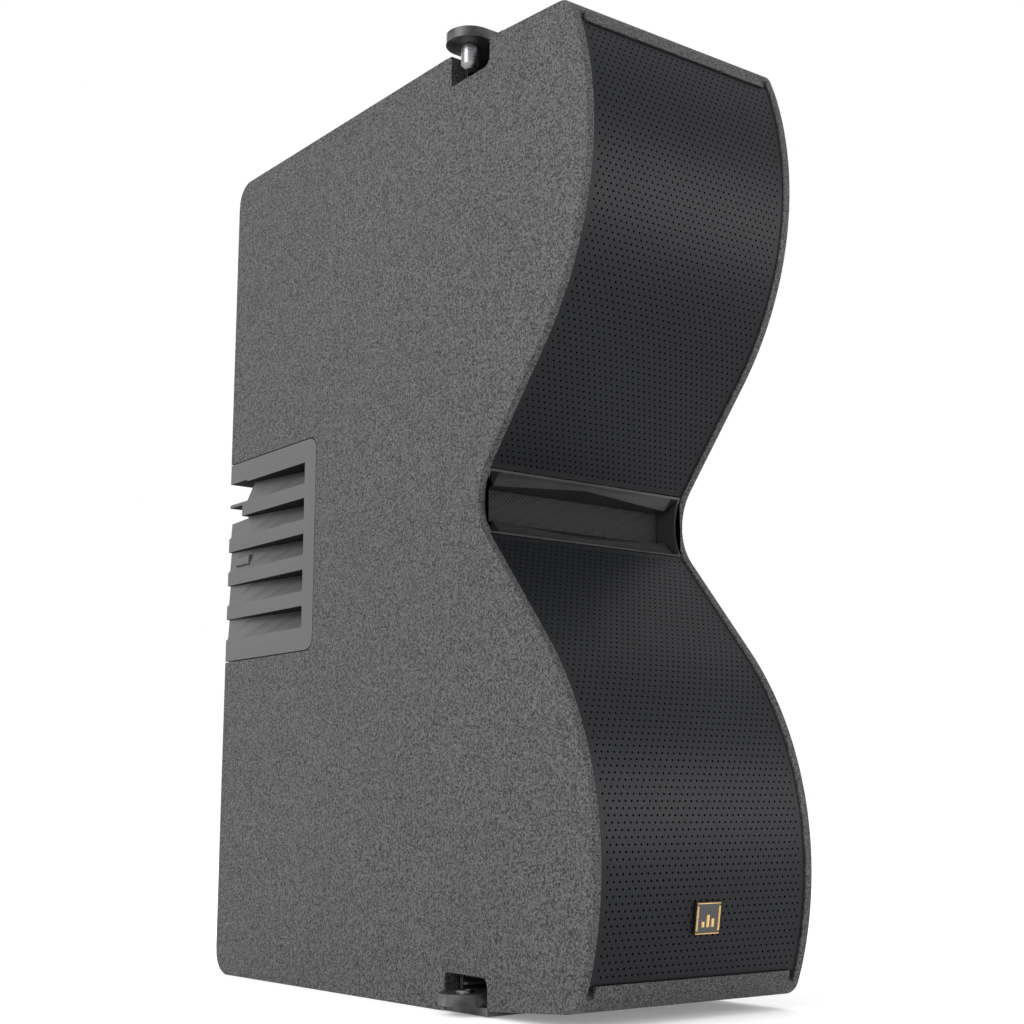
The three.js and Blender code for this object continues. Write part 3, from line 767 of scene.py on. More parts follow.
def side_panel(side):
    """One side panel: an outer board to the cabinet's edge, an inner one behind the grille seat.

    Points come in the order of the outer outline, so its weights give each outer edge
    the smaller weight of its two ends, and every other edge none.
    """
    name = "left" if side < 0 else "right"
    outline, seat = panel_outline(), inner_outline()
    layers = [wall_x(side, inward) for inward in (0, LIP, PANEL)]
    points, faces = prism([(outline, layers[0], layers[1]), (seat, layers[1], layers[2])])
    piece = new_piece(f"side_board_{name}", points, faces, [finish("spray_coat")],
                      "cabinet", f"side_panel_{name}")
    mesh = piece.data
    outward(mesh)
    weights, count = np.array([p[2] for p in outline]), len(outline)
    first, second = np.sort([edge.vertices[:] for edge in mesh.edges], axis=1).T
    value = np.where(second < count, np.minimum(weights[first % count], weights[second % count]), 0.0)
    mark = mesh.attributes.new("bevel_weight_edge", "FLOAT", "EDGE")
    mark.data.foreach_set("value", value.astype(np.float32))
    shade(piece, 25)
    round_edges(piece, bpy.context.scene.speaker_sizes.edge_radius, 5, by_weight=True)


def end_section(with_front, with_rear):
    """Side-view outline of an end panel, whole or without the part beyond a link pocket."""
    arc, above = lower_nose()
    step = float(front_depth(GRILLE_LOW)) + 10 * MM
    seat = GRILLE_LOW - GAP
    slope = (seat - END_WALL) / (RAKE_START - step)

    def top(depth):
        return END_WALL + max(0.0, RAKE_START - depth) * slope

    points = []
    tall = REAR_CORNER + GAP
    rear = DEPTH - PANEL - 2 * MM
    if with_rear:
        points += rounded([[DEPTH, tall], [DEPTH, 0, REAR_CORNER], [RAKE_START, 0]])
    else:
        points += [[NOTCH_FRONT, top(NOTCH_FRONT)], [NOTCH_FRONT, rise(NOTCH_FRONT)]]
    if with_front:
        lip = front_run(0.0, above, seat, 0.6 * MM) if above < seat else []
        points += arc + lip + [[float(front_depth(GRILLE_LOW)), seat], [step, seat]]
    else:
        points += [[NOTCH_REAR, rise(NOTCH_REAR)], [NOTCH_REAR, top(NOTCH_REAR)]]
    if with_rear:
        points += [[RAKE_START, END_WALL], [rear, END_WALL], [rear, tall]]
    return points


def end_panel(place):
    """One end panel between the side panels, with the two link pockets left out."""
    left, right = wall_x(-1, PANEL - 0.2 * MM), wall_x(1, PANEL - 0.2 * MM)
    whole = end_section(True, True)
    front = end_section(True, False)
    rear = end_section(False, True)
    parts = [
        (whole, POCKET_LEFT, POCKET_RIGHT),
        (front, left, POCKET_LEFT),
        (rear, left, POCKET_LEFT),
        (front, POCKET_RIGHT, right),
        (rear, POCKET_RIGHT, right),
    ]
    if place == "top":
        parts = [(flipped(outline), a, b) for outline, a, b in parts]
    points, faces = prism(parts)
    piece = new_piece(f"end_board_{place}", points, faces, [finish("spray_coat")],
                      "cabinet", f"end_panel_{place}")
    outward(piece.data)
    shade(piece, 25)


# ---- grilles and foam ------------------------------------------------------------
def curve_by_length(inset, low, high):
    """Functions of arc length along the front curve: its total, and its point and normal."""
    z = np.linspace(low, high, 4000)
    depth = front_depth(z, inset)
    length = np.concatenate([[0.0], np.cumsum(np.hypot(np.diff(z), np.diff(depth)))])

    def at(s):
        here = np.interp(s, length, z)
        deep = np.interp(s, length, depth)
        nudge = 0.05 * MM
        slope_d = np.interp(s + nudge, length, depth) - np.interp(s - nudge, length, depth)
        slope_z = np.interp(s + nudge, length, z) - np.interp(s - nudge, length, z)
        size = np.maximum(np.hypot(slope_d, slope_z), 1e-12)
        return deep, here, slope_z / size, -slope_d / size

    return length[-1], at


def perforated(name, low, high, node):
    """A curved steel sheet pierced by staggered holes.

    The flat pattern has x across and arc length along the front curve. Each row is a
    strip of square-cornered cells with an eight-sided hole, every other row is shifted
    by half a pitch, and plain cells fill the margins. The flat pattern is then laid on
    the curve, once for the face and once for the back.
    """
    sizes = bpy.context.scene.speaker_sizes
    pitch, hole = sizes.hole_pitch, sizes.hole_size / 2
    total, at = curve_by_length(GRILLE_INSET, low, high)
    rows = int((total - 2 * GRILLE_MARGIN) / (pitch * math.sqrt(3) / 2))
    tall = (total - 2 * GRILLE_MARGIN) / rows
    lines = GRILLE_MARGIN + tall * np.arange(rows + 1)
    reach = HALF_WIDTH - LIP - GAP
    narrow = reach - 1.0 * MM
    plain, centres = [], []
    for row, (s0, s1) in enumerate(zip(lines, lines[1:])):
        shift = pitch / 2 if row % 2 else 0.0
        count = int((narrow - shift - pitch / 2) // pitch)
        middle = shift + pitch * np.arange(-count - (1 if shift else 0), count + 1)
        middle = middle[np.abs(middle) + pitch / 2 <= narrow]
        centres += [[x, (s0 + s1) / 2] for x in middle]
        plain.append((-reach, middle[0] - pitch / 2, s0, s1))
        plain.append((middle[-1] + pitch / 2, reach, s0, s1))
    for s0, s1 in ((0.0, GRILLE_MARGIN), (total - GRILLE_MARGIN, total)):
        columns = np.arange(-80, 80) * pitch / 2
        inside = columns[np.abs(columns) < reach - pitch / 2]
        edges = np.concatenate([[-reach], inside, [reach]])
        plain += [(x0, x1, s0, s1) for x0, x1 in zip(edges, edges[1:])]
    corners = [point for x0, x1, s0, s1 in plain for point in ((x0, s0), (x1, s0), (x1, s1), (x0, s1))]
    quads = np.arange(4 * len(plain)).reshape(-1, 4)

    square = np.array([[1, 0], [1, 1], [0, 1], [-1, 1], [-1, 0], [-1, -1], [0, -1], [1, -1]], float)
    angle = np.arange(8) * math.pi / 4
    circle = np.column_stack([np.cos(angle), np.sin(angle)])
    middle = np.array(centres)[:, None, :]
    outer = middle + square[None] * [pitch / 2, tall / 2]
    inner = middle + circle[None] * hole
    cells = np.concatenate([outer, inner], axis=1).reshape(-1, 2)
    start = len(corners) + 16 * np.arange(len(centres))[:, None]
    k = np.arange(8)[None]
    n = (k + 1) % 8
    around = np.stack([start + k, start + n, start + 8 + n, start + 8 + k], -1).reshape(-1, 4)
    walls = np.stack([start + 8 + k, start + 8 + n], -1).reshape(-1, 2)
    points, faces = laid_on_curve(np.vstack([corners, cells]), np.vstack([quads, around]), walls, at)
    new_piece(name, points, faces, [finish("grille_steel")], "cabinet", node)


def laid_on_curve(flat, front, walls, at):
    """Points and faces of a flat pattern laid on the front curve, as a sheet of steel.

    The face lies on the curve and the back one thickness behind it, along the normal.
    Hole walls and the outer rim join the two, and points that coincide become one.
    """
    deep, height, normal_y, normal_z = at(flat[:, 1])
    face = np.column_stack([flat[:, 0], deep + FRONT_Y, height])
    back = face + np.column_stack([0 * deep, normal_y, normal_z]) * GRILLE_STEEL
    points, count = np.vstack([face, back]), len(flat)
    keys = np.round(points / (0.004 * MM)).astype(np.int64)
    _, chosen, number = np.unique(keys, axis=0, return_index=True, return_inverse=True)
    number = number.reshape(-1)
    through = np.column_stack([walls[:, 0], walls[:, 1], walls[:, 1] + count, walls[:, 0] + count])
    faces = number[np.vstack([front, front[:, ::-1] + count, through])]
    behind = {number[i]: number[i + count] for i in range(count)}
    rim = [(a, b) for a, b in open_edges(faces).tolist() if a in behind and b in behind]
    closing = [[b, a, behind[a], behind[b]] for a, b in rim]
    return points[chosen], faces.tolist() + closing


def foam_sheet(name, low, high, node):
    """Foam behind a grille: a slab on the front curve whose face swells in soft lumps.

    Its face is the curve moved in by the foam's inset less a sum of two crossed waves.
    """
    rows, columns = 110, 56
    total, at = curve_by_length(FOAM_INSET, low, high)
    s = np.linspace(0, total, rows)[:, None]
    deep, height, normal_y, normal_z = at(s)
    u = np.linspace(-1, 1, columns)[None, :]
    x = u * (HALF_WIDTH - LIP - 2 * GAP) + 0 * s
    lumps = 0.15 * MM * np.sin(x * 900 + s * 300) * np.cos(s * 800 - x * 200)
    sheets = []
    for inset in (0.2 * MM - lumps, FOAM_THICK + 0 * lumps):
        y = deep + normal_y * inset + FRONT_Y
        z = height + normal_z * inset
        sheets.append(np.stack([x + 0 * s, y + 0 * u, z + 0 * u], -1).reshape(-1, 3))
    points, faces = between_grids(*sheets, rows, columns)
    piece = new_piece(name, points, faces, [finish("grille_foam")], "cabinet", node)
    shade(piece, 50)


# ---- horn ------------------------------------------------------------------------
def horn_mouth():
    """The mouth frame as a grid: stations across X, each a section from low to high.

    Away from the ends a section runs back over a bevel, down a wall and across the
    floor. The bevel is wide at the ends and narrow in the middle. Near each end all
    of it rises to the front curve in a straight ramp, which makes the end wall.
    """
    edge = 17.3 * MM
    land = 1.3 * MM
    half_floor = 8.9 * MM
    ramp = 5.6 * MM
    reach = HALF_WIDTH - LIP - 0.35 * MM
    inside = reach - land
    across = np.concatenate([
        [reach, reach - 0.3 * MM, inside + 0.3 * MM, inside],
        inside - ramp * np.array([0.04, 0.5, 1.0]),
        np.linspace(inside - ramp - 2 * MM, 0, 14),
    ])
    across = np.concatenate([across, -across[-2::-1]])
    lift = np.interp(np.abs(across), [inside - ramp, inside], [1.0, 0.0])
    bevel = (2.6 + 4.4 * np.abs(across) / inside) * MM
    rim = edge - land
    level = np.ones_like(across)

    def curve(dz):
        return front_depth(MIDDLE + dz, GRILLE_INSET)

    shelf = (rim - bevel, (curve(rim) + bevel * 0.85) * level)
    foot = (half_floor * level, HORN_FLOOR * level)
    middle = (0 * level, HORN_FLOOR * level)
    stages = ((rim * level, curve(rim) * level), shelf, foot, middle)
    half = [
        (edge * level, (HORN_BACK - GAP) * level),
        (edge * level, (curve(edge) + 0.3 * MM) * level),
        ((edge - 0.25 * MM) * level, (curve(edge) - 0.25 * MM) * level),
        ((rim + 0.3 * MM) * level, (curve(rim) - 0.35 * MM) * level),
        (rim * level, (curve(rim) + 0.1 * MM) * level),
    ]
    for (from_dz, from_deep), (to_dz, to_deep), count in zip(stages, stages[1:], (2, 3, 7)):
        for t in np.linspace(0, 1, count + 1)[1:]:
            inner_dz = from_dz + (to_dz - from_dz) * t
            inner_deep = from_deep + (to_deep - from_deep) * t
            end_dz = rim * (1 - t) if to_dz is middle[0] else rim * level
            dz = inner_dz * lift + end_dz * (1 - lift)
            half.append((dz, curve(dz) * (1 - lift) + inner_deep * lift))
    half.pop()
    order = [(-dz, depth) for dz, depth in half] + [(dz, depth) for dz, depth in half[::-1]]
    points = np.array([np.column_stack([across, depth + FRONT_Y, MIDDLE + dz]) for dz, depth in order])
    count, last = len(across), len(order) - 1
    faces = grid_faces(len(order), count)
    rim_rows = {1, 2, 3, last - 2, last - 3, last - 4}
    choice = []
    for row in range(last):
        for column in range(count - 1):
            # on_rim faces take the second finish, a lighter plastic that paints the highlight along the
            # rim
            on_rim = row in rim_rows or column < 3 or column > count - 5
            # on_end faces near each end take the third finish, a darker plastic that paints the shade on
            # the mouth's end walls
            on_end = 2 < column < 6 or count - 8 < column < count - 4
            choice.append(1 if on_rim else 2 if on_end else 0)
    faces += [[k, k + 1, last * count + k + 1, last * count + k] for k in range(count - 1)]
    faces.append([row * count for row in range(last + 1)])
    faces.append([row * count + count - 1 for row in range(last, -1, -1)])
    choice += [0] * (count + 1)
    finishes = [finish("horn_plastic"), finish("painted_highlight_rim"), finish("painted_shade_horn")]
    piece = new_piece("horn_mouth", points.reshape(-1, 3), faces, finishes,
                      "cabinet", "horn_frame", choice)
    outward(piece.data)
    shade(piece, 20)


def horn_mesh():
    """The woven screen on the horn floor: a plate whose face is crossed by diagonal ridges."""
    low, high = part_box("horn_screen")
    columns, rows = 300, 52
    x = np.linspace(-60.5 * MM, 60.5 * MM, columns)[None, :]
    z = np.linspace(MIDDLE - 8.8 * MM, MIDDLE + 8.8 * MM, rows)[:, None]
    wave = np.sin((x - z * 0.9) * 2 * math.pi / (2.3 * MM))
    face = np.stack([x + 0 * z, low.y + 0.25 * MM - 0.22 * MM * wave, z + 0 * x], -1).reshape(-1, 3)
    back = face.copy()
    back[:, 1] = high.y
    points, faces = between_grids(face, back, rows, columns)
    piece = new_piece("horn_mesh", points, faces, [finish("screen_weave")],
                      "cabinet", "horn_screen")
    outward(piece.data)
    shade(piece, 60)


# ---- louvred covers --------------------------------------------------------------
def louvre_face(centre, normal):
    """1 for the slots' ceilings and front ends, which take painted shade, 2 for their sloping blades,
    which take painted light, 0 for the rest.
    """
    within = COVER_LOW.z + 4 * MM < centre.z < COVER_HIGH.z - 4 * MM
    deep = abs(centre.x) < HALF_WIDTH - 0.9 * MM
    if not within or not deep or abs(centre.x) < HALF_WIDTH - 19 * MM:
        return 0
    if normal.z < -0.9 or normal.y > 0.9 and centre.y < 0.12:
        return 1
    return 2 if normal.z > 0.02 and abs(normal.x) > 0.05 and normal.z < 0.98 else 0


def ribbed_button(side):
    """The press button: a block whose outer face is a row of upright round ribs."""
    name = "left" if side < 0 else "right"
    low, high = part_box(f"cover_button_{name}")
    columns, rows = 65, 12
    y = np.linspace(low.y, high.y, columns)[None, :]
    z = np.linspace(low.z, high.z, rows)[:, None]
    edge = np.minimum(1, np.minimum(z - low.z, high.z - z) / (0.6 * MM))
    ribs = np.abs(np.sin((y - low.y) / (high.y - low.y) * 5 * math.pi))
    outer = side * (HALF_WIDTH - 0.8 * MM - 1.1 * MM * (1 - ribs * np.sqrt(np.maximum(edge, 0))))
    inner = side * (HALF_WIDTH - 5.8 * MM)
    face = np.stack([outer + 0 * z, y + 0 * z, z + 0 * y], -1).reshape(-1, 3)
    back = np.stack([inner + 0 * (y + z), y + 0 * z, z + 0 * y], -1).reshape(-1, 3)
    points, faces = between_grids(face, back, rows, columns)
    piece = new_piece(f"ribbed_button_{name}", points, faces, [finish("cover_plastic")],
                      f"{name}_button", f"cover_button_{name}")
    outward(piece.data)
    shade(piece, 40)


# ---- badge -----------------------------------------------------------------------
def badge_plate():
    """A square badge: bevelled gold frame, black field and three plain upright bars."""
    low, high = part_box("badge")
    half = (high.x - low.x) / 2
    tilt = math.asin((BULGE_OFFSET - (MIDDLE - BADGE_HEIGHT)) / (BULGE_RADIUS - GRILLE_INSET))
    depth = float(front_depth(BADGE_HEIGHT, GRILLE_INSET)) - GAP
    centre = Vector((0, depth + FRONT_Y, BADGE_HEIGHT))
    points, faces, choice = [], [], []

    def slab(x0, x1, z0, z1, y0, y1, inset, colour):
        base = len(points)
        points.extend([(x0, y0, z0), (x1, y0, z0), (x1, y0, z1), (x0, y0, z1)])
        points.extend([(x0 + inset, y1, z0 + inset), (x1 - inset, y1, z0 + inset),
                       (x1 - inset, y1, z1 - inset), (x0 + inset, y1, z1 - inset)])
        quads = [[0, 1, 2, 3], [4, 7, 6, 5], [0, 4, 5, 1], [1, 5, 6, 2], [2, 6, 7, 3], [3, 7, 4, 0]]
        faces.extend([[base + i for i in quad] for quad in quads])
        choice.extend([colour] * 6)

    band, margin, bar, foot = 1.5 * MM, 0.25 * MM, 0.9 * MM, -4.4 * MM
    slab(-half, half, -half, half, -0.1 * MM, -1.3 * MM, margin, 1)
    frame_bars = (
        (-half, half, half - band, half),
        (-half, half, -half, -half + band),
        (-half, -half + band, -half + band, half - band),
        (half - band, half, -half + band, half - band),
    )
    for x0, x1, z0, z1 in frame_bars:
        slab(x0 + margin, x1 - margin, z0 + margin, z1 - margin, -1.2 * MM, -1.95 * MM, 0.3 * MM, 0)
    for middle, tall in ((-3.2 * MM, 3.0 * MM), (0.0, 6.2 * MM), (3.2 * MM, 4.4 * MM)):
        slab(middle - bar, middle + bar, foot, foot + tall, -1.25 * MM, -1.7 * MM, 0.2 * MM, 0)
    turn = Matrix.Translation(centre) @ Matrix.Rotation(-tilt, 4, "X")
    placed = [turn @ Vector(p) for p in points]
    finishes = [finish("badge_gold"), finish("badge_black")]
    piece = new_piece("badge_emblem", placed, faces, finishes, "cabinet", "badge", choice)
    outward(piece.data)


# ---- operators -------------------------------------------------------------------
class SpeakerSizes(bpy.types.PropertyGroup):
    """Sizes of the visible detail that a user would change."""

    edge_radius: bpy.props.FloatProperty(
        name="Edge radius", description="Rounding of the cabinet's outer edges", default=3.2 * MM,
        min=0.5 * MM, max=4.0 * MM, unit="LENGTH")
    hole_pitch: bpy.props.FloatProperty(
        name="Hole pitch", description="Distance between grille holes along a row", default=3.9 * MM,
        min=2.5 * MM, max=6.0 * MM, unit="LENGTH")
    hole_size: bpy.props.FloatProperty(
        name="Hole size", description="Width of a grille hole", default=1.35 * MM,
        min=1.0 * MM, max=3.0 * MM, unit="LENGTH")


class SpeakerColours(bpy.types.PropertyGroup):
    """Base colours of the main finishes."""

    coat: bpy.props.FloatVectorProperty(
        name="Cabinet coat", description="Textured coat of the cabinet", default=(0.034, 0.034, 0.034),
        subtype="COLOR", min=0, max=1)
    grille: bpy.props.FloatVectorProperty(
        name="Grille", description="Powder coat of the grilles", default=(0.0052, 0.0058, 0.0074),
        subtype="COLOR", min=0, max=1)
    horn: bpy.props.FloatVectorProperty(
        name="Horn", description="Moulded plastic of the horn mouth", default=(0.012, 0.012, 0.0123),
        subtype="COLOR", min=0, max=1)
    cover: bpy.props.FloatVectorProperty(
        name="Covers", description="Moulded plastic of the side covers", default=(0.062, 0.062, 0.062),
        subtype="COLOR", min=0, max=1)
    gold: bpy.props.FloatVectorProperty(
        name="Badge metal", description="Frame and bars of the badge", default=(0.62, 0.42, 0.2),
        subtype="COLOR", min=0, max=1)


class SPEAKER_OT_cabinet(bpy.types.Operator):
    """Side and end panels with their textured coat"""

    bl_idname = "speaker.cabinet"
    bl_label = "Cabinet"

    def execute(self, context):
        for side in (-1, 1):
            side_panel(side)
        for place in ("bottom", "top"):
            end_panel(place)
        return {"FINISHED"}


class SPEAKER_OT_grilles(bpy.types.Operator):
    """Perforated grilles and the foam behind them"""

    bl_idname = "speaker.grilles"
    bl_label = "Grilles"

    def execute(self, context):
        spans = {"lower": (GRILLE_LOW, GRILLE_HIGH), "upper": (LENGTH - GRILLE_HIGH, LENGTH - GRILLE_LOW)}
        for place, (low, high) in spans.items():
            perforated(f"perforated_sheet_{place}", low, high, f"grille_{place}")
            foam_low, foam_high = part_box(f"grille_foam_{place}")
            foam_sheet(f"foam_sheet_{place}", foam_low.z + GAP, foam_high.z - GAP, f"grille_foam_{place}")
        return {"FINISHED"}


class SPEAKER_OT_horn(bpy.types.Operator):
    """Horn mouth frame and its woven screen"""

    bl_idname = "speaker.horn"
    bl_label = "Horn mouth"

    def execute(self, context):
        horn_mouth()
        horn_mesh()
        return {"FINISHED"}


class SPEAKER_OT_covers(bpy.types.Operator):
    """Louvred side covers, their buttons and the rear spine"""

    bl_idname = "speaker.covers"
    bl_label = "Side covers"

    def execute(self, context):
        # the second finish paints shade in the slots and the third paints light on the blades
        plastics = [finish(name) for name in ("cover_plastic", "painted_shade_slot", "painted_light_blade")]
        for name in ("left", "right"):
            softened(f"side_cover_{name}", plastics, 0.35 * MM, 2, louvre_face)
        for side in (-1, 1):
            ribbed_button(side)
        softened("rear_spine", [finish("cover_plastic")], 0.8 * MM)
        return {"FINISHED"}


class SPEAKER_OT_rigging(bpy.types.Operator):
    """Link plates, guide and receiver boxes, link arm and pins"""

    bl_idname = "speaker.rigging"
    bl_label = "Rigging"

    def execute(self, context):
        steel = [finish("black_steel")]
        for node in ("link_top", "link_bottom", "rear_arm"):
            softened(node, steel, 0.6 * MM)
        for node in ("guide_box_top", "guide_box_bottom", "receiver_box_top", "receiver_box_bottom"):
            softened(node, steel, 0.3 * MM, 2)
        self.hanging_pin()
        self.bushing()
        self.arm_pin()
        return {"FINISHED"}

    def hanging_pin(self):
        """The top link's pin: a pointed shank below a narrower neck."""
        low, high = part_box("link_pin_top")
        shoulder = high.z - 5.7 * MM
        self.turned_steel("link_pin_turned", "link_pin_top", "top_link", [
            [0, low.z], [2.2 * MM, low.z], [2.6 * MM, low.z + 0.1 * MM],
            [4.9 * MM, low.z + 2.4 * MM], [5 * MM, low.z + 2.8 * MM],
            [5 * MM, shoulder - 0.4 * MM], [4.7 * MM, shoulder], [3.4 * MM, shoulder],
            [3.4 * MM, high.z - 0.3 * MM], [3.1 * MM, high.z], [0, high.z],
        ])

    def bushing(self):
        """The bottom link's bushing: a short tube with softened rims."""
        low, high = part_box("link_bushing_bottom")
        self.turned_steel("link_bushing_turned", "link_bushing_bottom", "bottom_link", [
            [2.6 * MM, low.z], [4.8 * MM, low.z], [4.8 * MM, high.z - 0.5 * MM], [4.3 * MM, high.z],
            [2.9 * MM, high.z], [2.6 * MM, high.z - 0.3 * MM], [2.6 * MM, low.z],
        ])

    def arm_pin(self):
        """The plain pin that the rear arm turns about."""
        low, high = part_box("rear_arm_pin")
        self.turned_steel("arm_pin_turned", "rear_arm_pin", "cabinet", [
            [0, low.z], [2.3 * MM, low.z], [2.6 * MM, low.z + 0.3 * MM],
            [2.6 * MM, high.z - 0.3 * MM], [2.3 * MM, high.z], [0, high.z],
        ])

    def turned_steel(self, name, node, body, profile):
        """A bright piece turned about the node's upright axis."""
        low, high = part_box(node)
        turned(name, profile, (low + high) / 2, "Z", [finish("bright_steel")], body, node)


class SPEAKER_OT_rear(bpy.types.Operator):
    """Rear panels, connector plate, sockets and screws"""

    bl_idname = "speaker.rear"
    bl_label = "Rear"

    def execute(self, context):
        softened("rear_panel_upper", [finish("spray_coat")], 0.8 * MM)
        softened("rear_panel_lower", [finish("spray_coat")], 0.4 * MM, 2)
        softened("connector_plate", [finish("black_steel")], 0.4 * MM, 2)
        for name in ("input", "link"):
            self.socket(name)
        for number in range(1, 5):
            self.screw(number)
        return {"FINISHED"}

    def socket(self, name):
        """A round locking socket: flanged ring, dark bore with a step, and a centre post."""
        low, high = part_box(f"socket_{name}")
        centre = (low + high) / 2
        front = high.y
        turned(f"socket_{name}_turned", [
            [0, low.y], [12 * MM, low.y], [12 * MM, front - 0.4 * MM], [11.6 * MM, front],
            [10.2 * MM, front], [9.6 * MM, front - 0.6 * MM],
            [9.5 * MM, front - 9 * MM], [8.6 * MM, front - 9.5 * MM],
            [8.6 * MM, front - 18 * MM], [3.4 * MM, front - 18 * MM], [3.4 * MM, front - 4 * MM],
            [3.0 * MM, front - 3.5 * MM], [1.2 * MM, front - 3.5 * MM], [1.0 * MM, front - 6 * MM],
            [0, front - 6 * MM],
        ], centre, "Y", [finish("horn_plastic")], "cabinet", f"socket_{name}")

    def screw(self, number):
        """A countersunk screw with a round recess in its head."""
        low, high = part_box(f"connector_screw_{number}")
        centre = (low + high) / 2
        face = high.y
        turned(f"screw_{number}_turned", [
            [0, low.y], [1.5 * MM, low.y], [1.6 * MM, low.y + 0.4 * MM], [1.6 * MM, face - 1.4 * MM],
            [2.6 * MM, face - 0.1 * MM], [2.5 * MM, face], [1.35 * MM, face], [1.2 * MM, face - 1.1 * MM],
            [0, face - 1.2 * MM],
        ], centre, "Y", [finish("bright_steel")], "cabinet", f"connector_screw_{number}", 24)


class SPEAKER_OT_badge(bpy.types.Operator):
    """Plain badge plate on the lower grille"""

    bl_idname = "speaker.badge"
    bl_label = "Badge"

    def execute(self, context):
        badge_plate()
        return {"FINISHED"}


class SPEAKER_OT_drivers(bpy.types.Operator):
    """Moving and soft pieces of the woofers, and finishes of the inner pieces"""

    bl_idname = "speaker.drivers"
    bl_label = "Drivers"

    def execute(self, context):
        for place in ("lower", "upper"):
            self.cone(place)
            self.dust_cap(place)
            self.surround(place)
            self.spider(place)
        for node, item in frame["nodes"].items():
            if not item.hide_render:
                item.data.materials.clear()
                item.data.materials.append(finish(slot_of(node)))
        return {"FINISHED"}

    def turned_about_axis(self, name, node, material, body, profile):
        """A piece turned about the driver's axis, which runs along Y."""
        low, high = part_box(node)
        turned(name, profile, (low + high) / 2, "Y", [finish(material)], body, node)

    def cone(self, place):
        """A paper cone that flattens towards the back, with the coil's former behind it."""
        node = f"woofer_{place}_cone"
        low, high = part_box(node)
        along = np.linspace(0, 1, 14)
        radius = (52 - 33.1 * along) * MM
        depth = low.y + (1.6 + 29 * along**0.85) * MM
        outer = np.column_stack([radius, depth]).tolist()
        inner = np.column_stack([radius - 1.4 * MM, depth - 1.4 * MM])[::-1].tolist()
        bore = 17.4 * MM
        former = [[18.9 * MM, high.y], [bore, high.y], [bore, inner[0][1]]]
        profile = outer + former + inner + [outer[0]]
        self.turned_about_axis(f"paper_cone_{place}", node, "cone_paper", f"{place}_cone", profile)

    def dust_cap(self, place):
        """A shallow dome: depth grows with the square of the radius."""
        node = f"woofer_{place}_dust_cap"
        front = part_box(node)[0].y
        reach = np.linspace(0, 1, 10)
        dome = [[21 * MM * a, front + 7.6 * MM * a**2] for a in reach]
        under = [[20.4 * MM * a, front + 1.2 * MM + 7.6 * MM * a**2] for a in reach[::-1]]
        self.turned_about_axis(f"dust_dome_{place}", node, "cone_paper", f"{place}_cone", dome + under)

    def surround(self, place):
        """A half roll of rubber between two flat rims."""
        node = f"woofer_{place}_surround"
        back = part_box(node)[1].y
        middle, front = 58.5 * MM, back - 1.3 * MM
        inner_rim, outer_rim = 52.4 * MM, 64 * MM
        turn = np.linspace(math.pi, 0, 16)
        roll = [[middle + 4.6 * MM * math.cos(t), front - 4.3 * MM * math.sin(t)] for t in turn]
        inside = [[middle + 3.6 * MM * math.cos(t), back - 3.2 * MM * math.sin(t)] for t in turn[::-1]]
        rims = [[outer_rim, front], [outer_rim, back]]
        profile = [[inner_rim, front]] + roll + rims + inside + [[inner_rim, back], [inner_rim, front]]
        self.turned_about_axis(f"rubber_roll_{place}", node, "surround_rubber", "cabinet", profile)

    def spider(self, place):
        """A cloth disc whose face is rippled by five sine waves, closed behind on the axis.

        The points behind lie on the axis, because their radius is scaled down once more.
        """
        node = f"woofer_{place}_spider"
        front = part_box(node)[0].y
        start, end = 19.2, 50.2
        span = np.linspace(start, end, 60)
        ripple = 0.35 * np.sin((span - start) / (end - start) * 10 * math.pi)
        face = [[r * MM, front + (0.3 + h) * MM] for r, h in zip(span, ripple)]
        back = [[r * MM, y + 0.5 * MM] for r, y in face[::-1]]
        profile = face + back + [face[0]]
        self.turned_about_axis(f"cloth_spider_{place}", node, "cone_paper", "cabinet", profile)


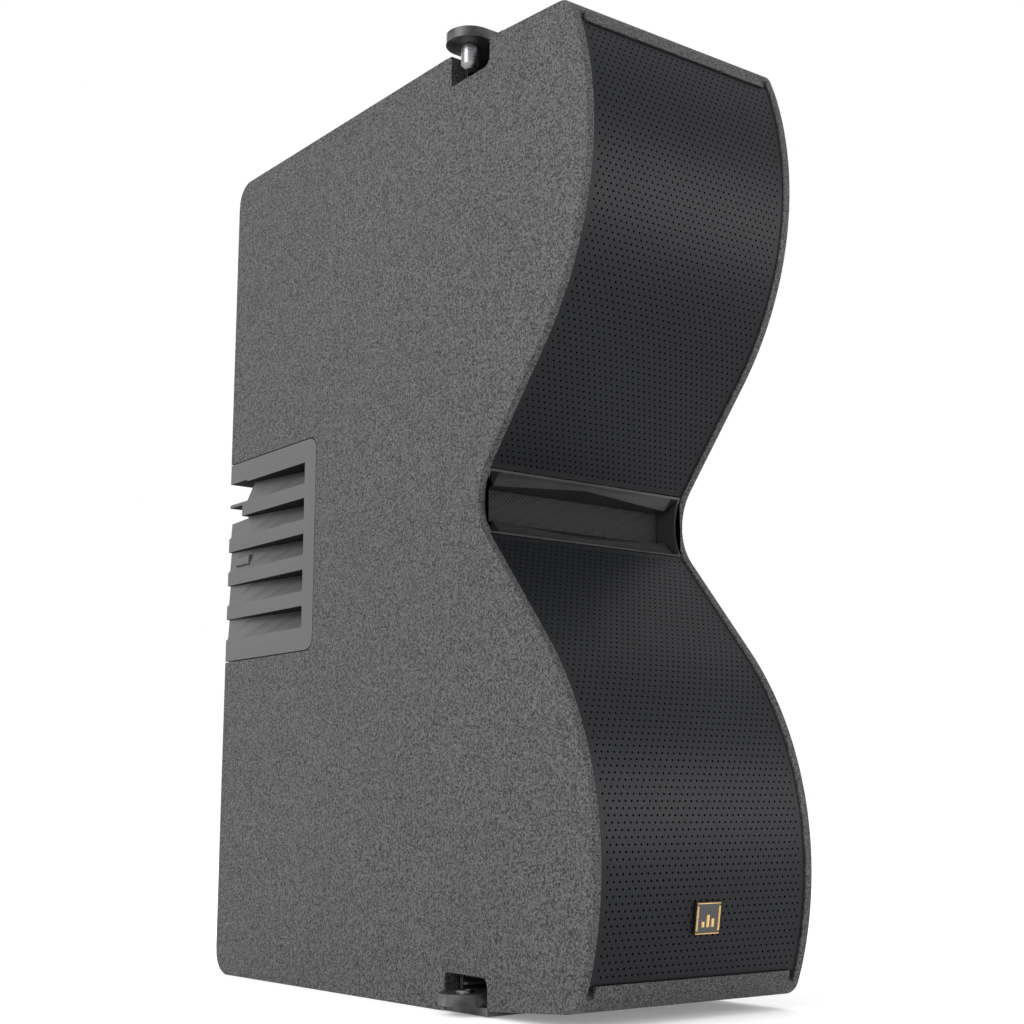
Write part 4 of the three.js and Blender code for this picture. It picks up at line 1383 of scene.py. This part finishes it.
class SPEAKER_OT_stage(bpy.types.Operator):
    """Pale floor, soft studio light and the camera"""

    bl_idname = "speaker.stage"
    bl_label = "Stage"

    def execute(self, context):
        self.floor()
        self.world()
        self.lights()
        self.camera()
        return {"FINISHED"}

    def floor(self):
        """A wide disc of quads, slightly below the base, with a faint paint mottle."""
        radius = np.array([0.0, 0.5, 2.0, 9.0, 40.0])
        angle = np.linspace(0, 2 * math.pi, 64, endpoint=False)
        x = radius[:, None] * np.cos(angle)
        y = radius[:, None] * np.sin(angle)
        points = np.stack([x, y, 0 * x - 0.2 * MM], -1).reshape(-1, 3)
        mesh = bpy.data.meshes.new("floor")
        mesh.from_pydata(points.tolist(), [], grid_faces(len(radius), 64, wrap=True))
        floor = bpy.data.objects.new("floor", mesh)
        bpy.context.scene.collection.objects.link(floor)
        glow = {"Specular_IOR_Level": 0.0, "Emission_Strength": 0.22}
        made = Finish("floor_paint", (0.86, 0.86, 0.86), 0.85, **glow)
        made.set("Emission Color", (1.0, 1.0, 1.0, 1.0))
        made.set("Base Color", made.blend(made.noise(3), (0.85, 0.85, 0.85), (0.87, 0.87, 0.87)))
        mesh.materials.append(made.material)

    def world(self):
        world = bpy.data.worlds.new("studio")
        bpy.context.scene.world = world
        world.use_nodes = True
        background = world.node_tree.nodes["Background"]
        background.inputs["Color"].default_value = (1.0, 1.0, 1.0, 1.0)
        background.inputs["Strength"].default_value = 1.0
        bpy.context.scene.view_settings.view_transform = "Standard"

    def lights(self):
        lamps = {
            "key": ((-2.3, -0.2, 1.1), 1.5, 53.0),
            "front": ((1.3, -1.8, 0.6), 0.9, 15.0),
            "rear": ((0.8, 1.8, 1.6), 1.2, 12.0),
        }
        target = Vector((0, 0, 0.25))
        for name, (place, size, power) in lamps.items():
            data = bpy.data.lights.new(name, "AREA")
            data.shape = "SQUARE"
            data.size = size
            data.energy = power
            lamp = bpy.data.objects.new(name, data)
            lamp.location = place
            lamp.rotation_euler = (target - Vector(place)).to_track_quat("-Z", "Y").to_euler()
            bpy.context.scene.collection.objects.link(lamp)

    def camera(self):
        yaw, pitch = math.radians(37.57), math.radians(10.42)
        level = math.cos(pitch)
        forward = Vector((math.sin(yaw) * level, math.cos(yaw) * level, math.sin(pitch)))
        right = Vector((math.cos(yaw), -math.sin(yaw), 0))
        upward = right.cross(forward)
        data = bpy.data.cameras.new("camera")
        data.lens = 57.1
        data.sensor_width = 36
        camera = bpy.data.objects.new("camera", data)
        turn = Matrix((right, upward, -forward)).transposed().to_4x4()
        camera.matrix_world = Matrix.Translation((-0.5688, -0.5821 + FRONT_Y, 0.1)) @ turn
        bpy.context.scene.collection.objects.link(camera)
        bpy.context.scene.camera = camera


STEPS = (
    SPEAKER_OT_stage,
    SPEAKER_OT_cabinet,
    SPEAKER_OT_grilles,
    SPEAKER_OT_horn,
    SPEAKER_OT_covers,
    SPEAKER_OT_rigging,
    SPEAKER_OT_rear,
    SPEAKER_OT_badge,
    SPEAKER_OT_drivers,
)


class SPEAKER_PT_panel(bpy.types.Panel):
    """Sizes, colours and one button per group of pieces"""

    bl_label = "Line Array Speaker"
    bl_idname = "SPEAKER_PT_panel"
    bl_space_type = "VIEW_3D"
    bl_region_type = "UI"
    bl_category = "Speaker"

    def draw(self, context):
        for group in (context.scene.speaker_sizes, context.scene.speaker_colours):
            column = self.layout.column()
            for name in group.__annotations__:
                column.prop(group, name)
        for step in STEPS:
            self.layout.operator(step.bl_idname)


CLASSES = (SpeakerSizes, SpeakerColours, *STEPS, SPEAKER_PT_panel)


def register():
    for item in CLASSES:
        bpy.utils.register_class(item)
    bpy.types.Scene.speaker_sizes = bpy.props.PointerProperty(type=SpeakerSizes)
    bpy.types.Scene.speaker_colours = bpy.props.PointerProperty(type=SpeakerColours)


def unregister():
    del bpy.types.Scene.speaker_colours
    del bpy.types.Scene.speaker_sizes
    for item in reversed(CLASSES):
        bpy.utils.unregister_class(item)


def main():
    register()
    for step in STEPS:
        group, name = step.bl_idname.split(".")
        getattr(getattr(bpy.ops, group), name)()


if __name__ == "__main__":
    main()
